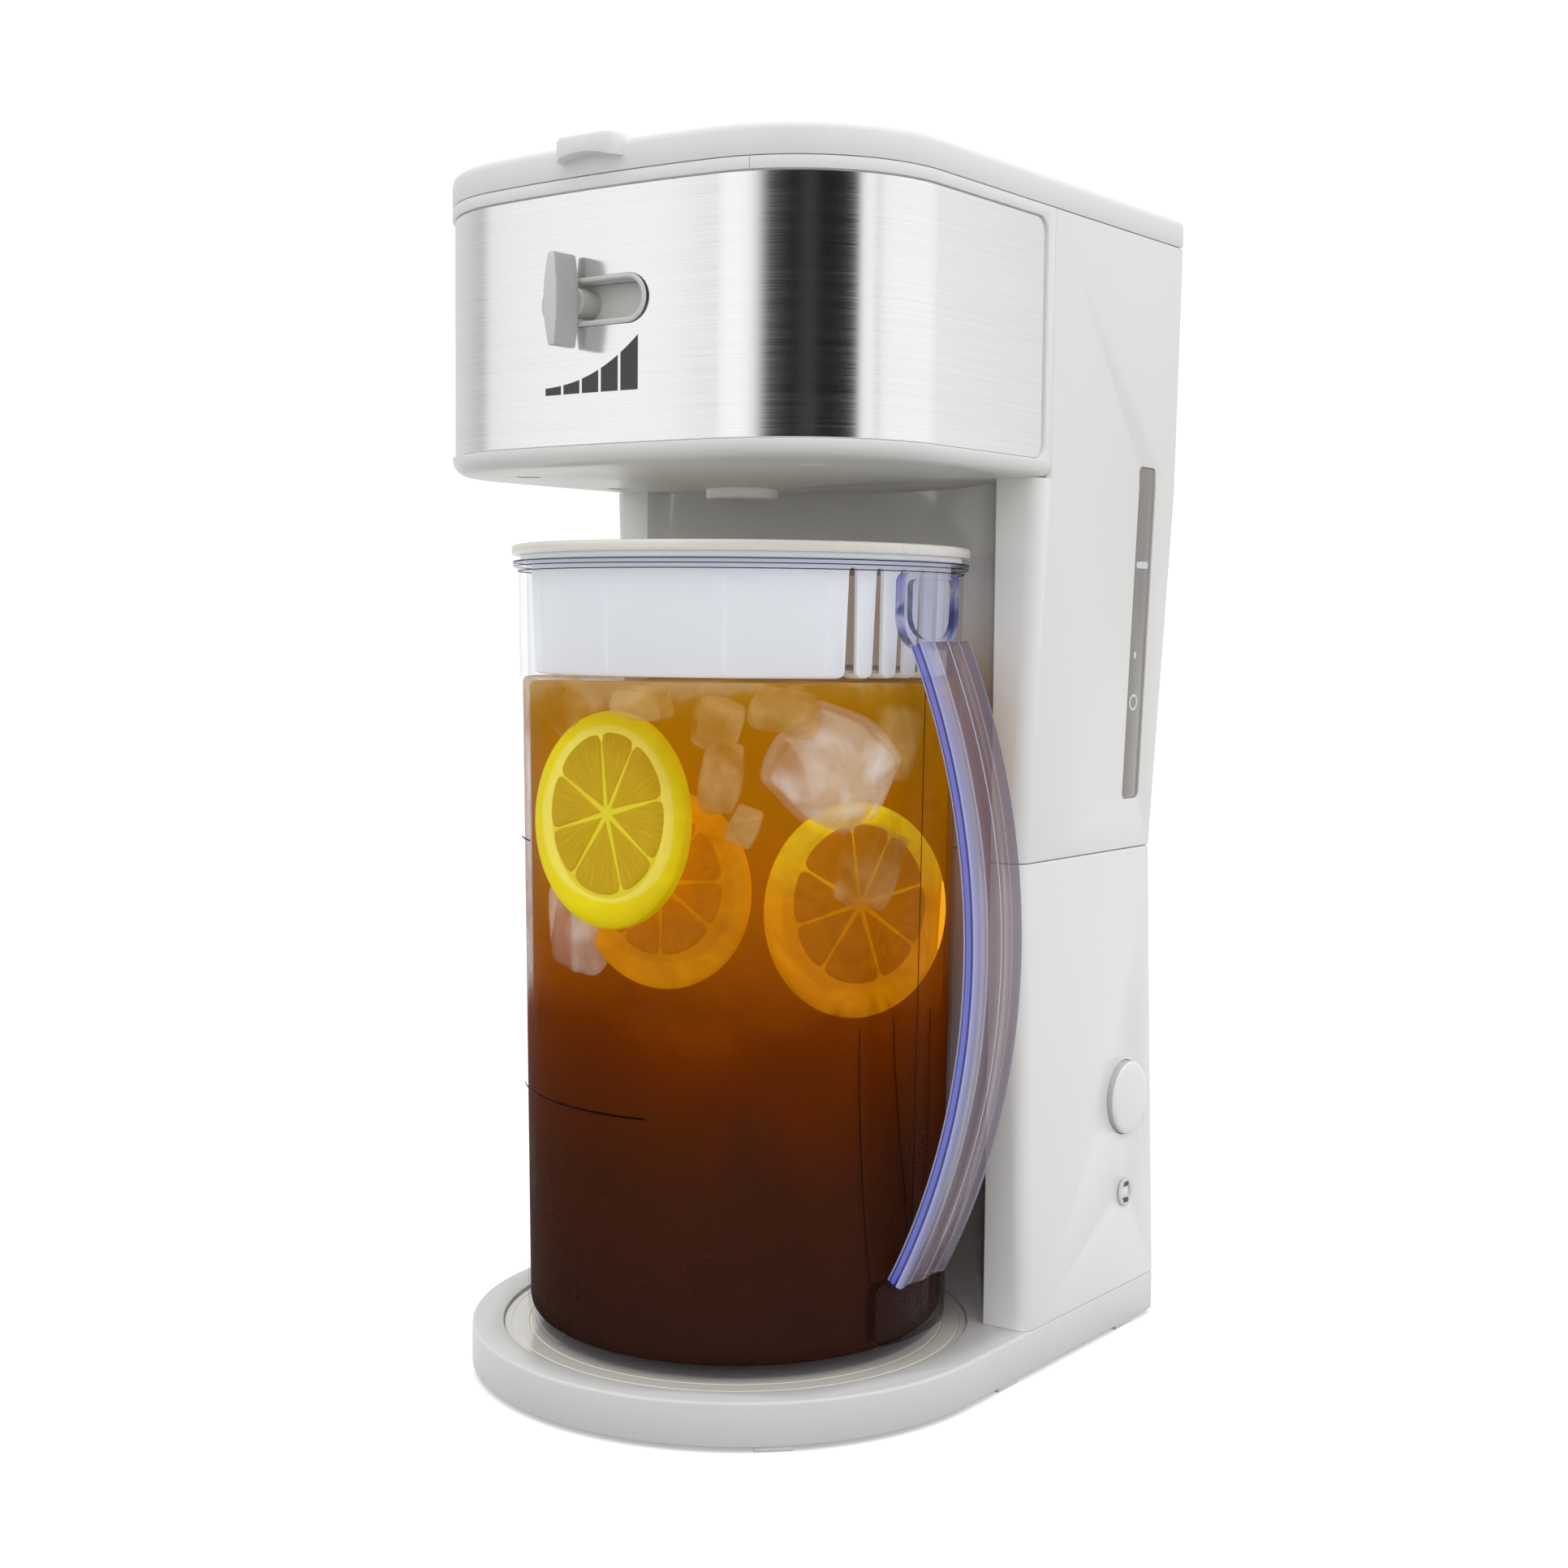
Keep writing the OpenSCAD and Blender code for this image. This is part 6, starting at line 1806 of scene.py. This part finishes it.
class TEAMAKER_OT_stage(Operator):
    """Set the floor, the lights, the surround and the camera"""

    bl_idname = "teamaker.stage"
    bl_label = "Stage"

    def execute(self, context):
        settings = context.scene.tea_stage
        bpy.ops.object.select_all(action="DESELECT")
        bpy.ops.mesh.primitive_plane_add(size=14, location=(0, 0, 0))
        floor = bpy.context.object
        floor.name = "studio_floor"
        material, tree, shader = new_finish("studio_floor")
        grain = cloud(tree, place_on_piece(tree), 40, 2, 0.5)
        base = tuple(settings.floor)
        view = add_node(tree, "ShaderNodeLightPath")
        paper = blend_colours(tree, grain, scaled(base, 0.99), base)
        # Less light comes back up from it than it shows, as on a stand in the middle of a room
        paper = blend_colours(tree, view.outputs["Is Diffuse Ray"], paper, scaled(base, 0.24))
        # A little light of its own keeps the paper floor white right up to the horizon
        unseen = sums(tree, "MULTIPLY", view.outputs["Is Diffuse Ray"], settings.lift)
        looks = {
            "Base Color": paper,
            "Emission Color": base,
            "Emission Strength": sums(tree, "SUBTRACT", settings.lift, unseen),
            "Roughness": 0.9,
            "Specular IOR Level": 0.0,
        }
        feed(tree, shader, looks)
        floor.data.materials.append(material)

        world = bpy.data.worlds.new("studio")
        context.scene.world = world
        world.use_nodes = True
        tree = world.node_tree
        backdrop = tree.nodes["Background"]
        where = add_node(tree, "ShaderNodeTexCoord")
        split = add_node(tree, "ShaderNodeSeparateXYZ")
        tree.links.new(where.outputs["Generated"], split.inputs["Vector"])
        # Turn from the front, in parts of a whole turn: 0 at -Y, rising towards +X
        forward = sums(tree, "MULTIPLY", split.outputs["Y"], -1.0)
        turn_ = sums(tree, "ARCTAN2", split.outputs["X"], forward)
        turn_ = remap(tree, turn_, -math.pi, math.pi, 0, 1)

        def round_studio(shades):
            return ramp(tree, turn_, [((a + 180) / 360, (v, v, v)) for a, v in shades])

        # What shiny pieces mirror: white walls with a dark gap and two seams
        mirrored = round_studio(
            (
                (-180, 0.80), (-92, 0.66), (-66, 0.50), (-55, 0.90), (-30, 0.97), (-27.5, 0.74),
                (-23.5, 0.74), (-22.5, 1.0), (-3, 1.0), (3, 0.85), (8, 0.45), (12, 0.05),
                (30, 0.0), (42, 0.04), (50, 0.0), (75.5, 0.0), (77.5, 1.0), (88, 1.0),
                (89.5, 0.62), (92, 0.62), (93.5, 0.95), (138, 0.96), (144, 0.92), (153, 0.69),
                (160, 0.66), (172, 0.76), (180, 0.80),
            )
        )
        rise = remap(tree, split.outputs["Z"], 0.80, 0.97, 0, 1)
        mirrored = blend_colours(tree, rise, mirrored, (1, 1, 1))
        # What lights the pieces: a little more from the right and from behind
        lit = round_studio(
            ((-180, 0.95), (-90, 0.86), (-20, 0.80), (60, 0.98), (110, 1.0), (180, 0.95))
        )
        path = add_node(tree, "ShaderNodeLightPath")
        seen = blend_colours(tree, path.outputs["Is Glossy Ray"], lit, mirrored)
        seen = blend_colours(tree, path.outputs["Is Camera Ray"], seen, (1, 1, 1))
        tree.links.new(seen, backdrop.inputs["Color"])

        def choose(share, low, high):
            node = add_node(tree, "ShaderNodeMix", data_type="FLOAT")
            feed(tree, node, {0: share, 2: low, 3: high})
            return node.outputs[0]

        strength = choose(path.outputs["Is Glossy Ray"], settings.surround, 1.06)
        strength = choose(path.outputs["Is Camera Ray"], strength, 1.1)
        tree.links.new(strength, backdrop.inputs["Strength"])

        # A soft box above, turned to the machine's middle
        place, aim = Vector((0.15, -0.1, 1.9)), Vector((0, 0, 0.2))
        bpy.ops.object.light_add(type="AREA", location=place)
        light = bpy.context.object
        light.name = "top_softbox"
        light.data.shape = "RECTANGLE"
        light.data.size = light.data.size_y = 1.6
        light.data.energy = settings.key
        light.rotation_euler = (aim - place).to_track_quat("-Z", "Y").to_euler()

        data = bpy.data.cameras.new("photo_camera")
        camera = bpy.data.objects.new("photo_camera", data)
        context.scene.collection.objects.link(camera)
        data.sensor_width = SENSOR
        data.lens = FOCAL_PIXELS / FRAME_PIXELS * SENSOR
        camera.location = (MID_X + settings.eye_x, MID_Y + settings.eye_y, settings.eye_z)
        camera.rotation_euler = (
            Matrix.Rotation(math.radians(CAMERA_TURN), 3, "Z")
            @ Matrix.Rotation(math.pi / 2 - math.radians(CAMERA_TIP), 3, "X")
            @ Matrix.Rotation(math.radians(CAMERA_ROLL), 3, "Z")
        ).to_euler()
        context.scene.camera = camera
        context.scene.view_settings.view_transform = "Standard"
        return {"FINISHED"}


class TEAMAKER_PT_pieces(Panel):
    """The pieces of the tea maker, each built by its button"""

    bl_idname = "TEAMAKER_PT_pieces"
    bl_label = "Tea maker"
    bl_space_type = "VIEW_3D"
    bl_region_type = "UI"
    bl_category = "Tea maker"

    def draw(self, context):
        layout = self.layout
        for step in STEPS:
            layout.operator(step.bl_idname)
        for group in ("tea_head", "tea_slider", "tea_pitcher", "tea_finishes", "tea_stage"):
            box = layout.box()
            settings = getattr(context.scene, group)
            for name in settings.__annotations__:
                box.prop(settings, name)


GROUPS = {
    "tea_head": HeadSizes,
    "tea_slider": SliderSizes,
    "tea_pitcher": PitcherSizes,
    "tea_finishes": Finishes,
    "tea_stage": StageSettings,
}
STEPS = (
    TEAMAKER_OT_stage,
    TEAMAKER_OT_solids,
    TEAMAKER_OT_housings,
    TEAMAKER_OT_head,
    TEAMAKER_OT_steel,
    TEAMAKER_OT_slider,
    TEAMAKER_OT_tank_lid,
    TEAMAKER_OT_controls,
    TEAMAKER_OT_outlet,
    TEAMAKER_OT_seat,
    TEAMAKER_OT_pitcher,
    TEAMAKER_OT_handle,
    TEAMAKER_OT_basket,
    TEAMAKER_OT_pitcher_lid,
    TEAMAKER_OT_drink,
)


def register():
    for group in GROUPS.values():
        bpy.utils.register_class(group)
    for step in STEPS:
        bpy.utils.register_class(step)
    bpy.utils.register_class(TEAMAKER_PT_pieces)
    for name, group in GROUPS.items():
        setattr(bpy.types.Scene, name, PointerProperty(type=group))


def unregister():
    for name in GROUPS:
        delattr(bpy.types.Scene, name)
    bpy.utils.unregister_class(TEAMAKER_PT_pieces)
    for step in reversed(STEPS):
        bpy.utils.unregister_class(step)
    for group in reversed(list(GROUPS.values())):
        bpy.utils.unregister_class(group)


def main():
    register()
    prepare_finishes()
    bpy.ops.teamaker.stage()
    bpy.ops.teamaker.solids()
    bpy.ops.teamaker.housings()
    bpy.ops.teamaker.head()
    bpy.ops.teamaker.steel()
    bpy.ops.teamaker.slider()
    bpy.ops.teamaker.tank_lid()
    bpy.ops.teamaker.controls()
    bpy.ops.teamaker.outlet()
    bpy.ops.teamaker.seat()
    bpy.ops.teamaker.pitcher()
    bpy.ops.teamaker.handle()
    bpy.ops.teamaker.basket()
    bpy.ops.teamaker.pitcher_lid()
    bpy.ops.teamaker.drink()
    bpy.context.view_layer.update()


if __name__ == "__main__":
    main()
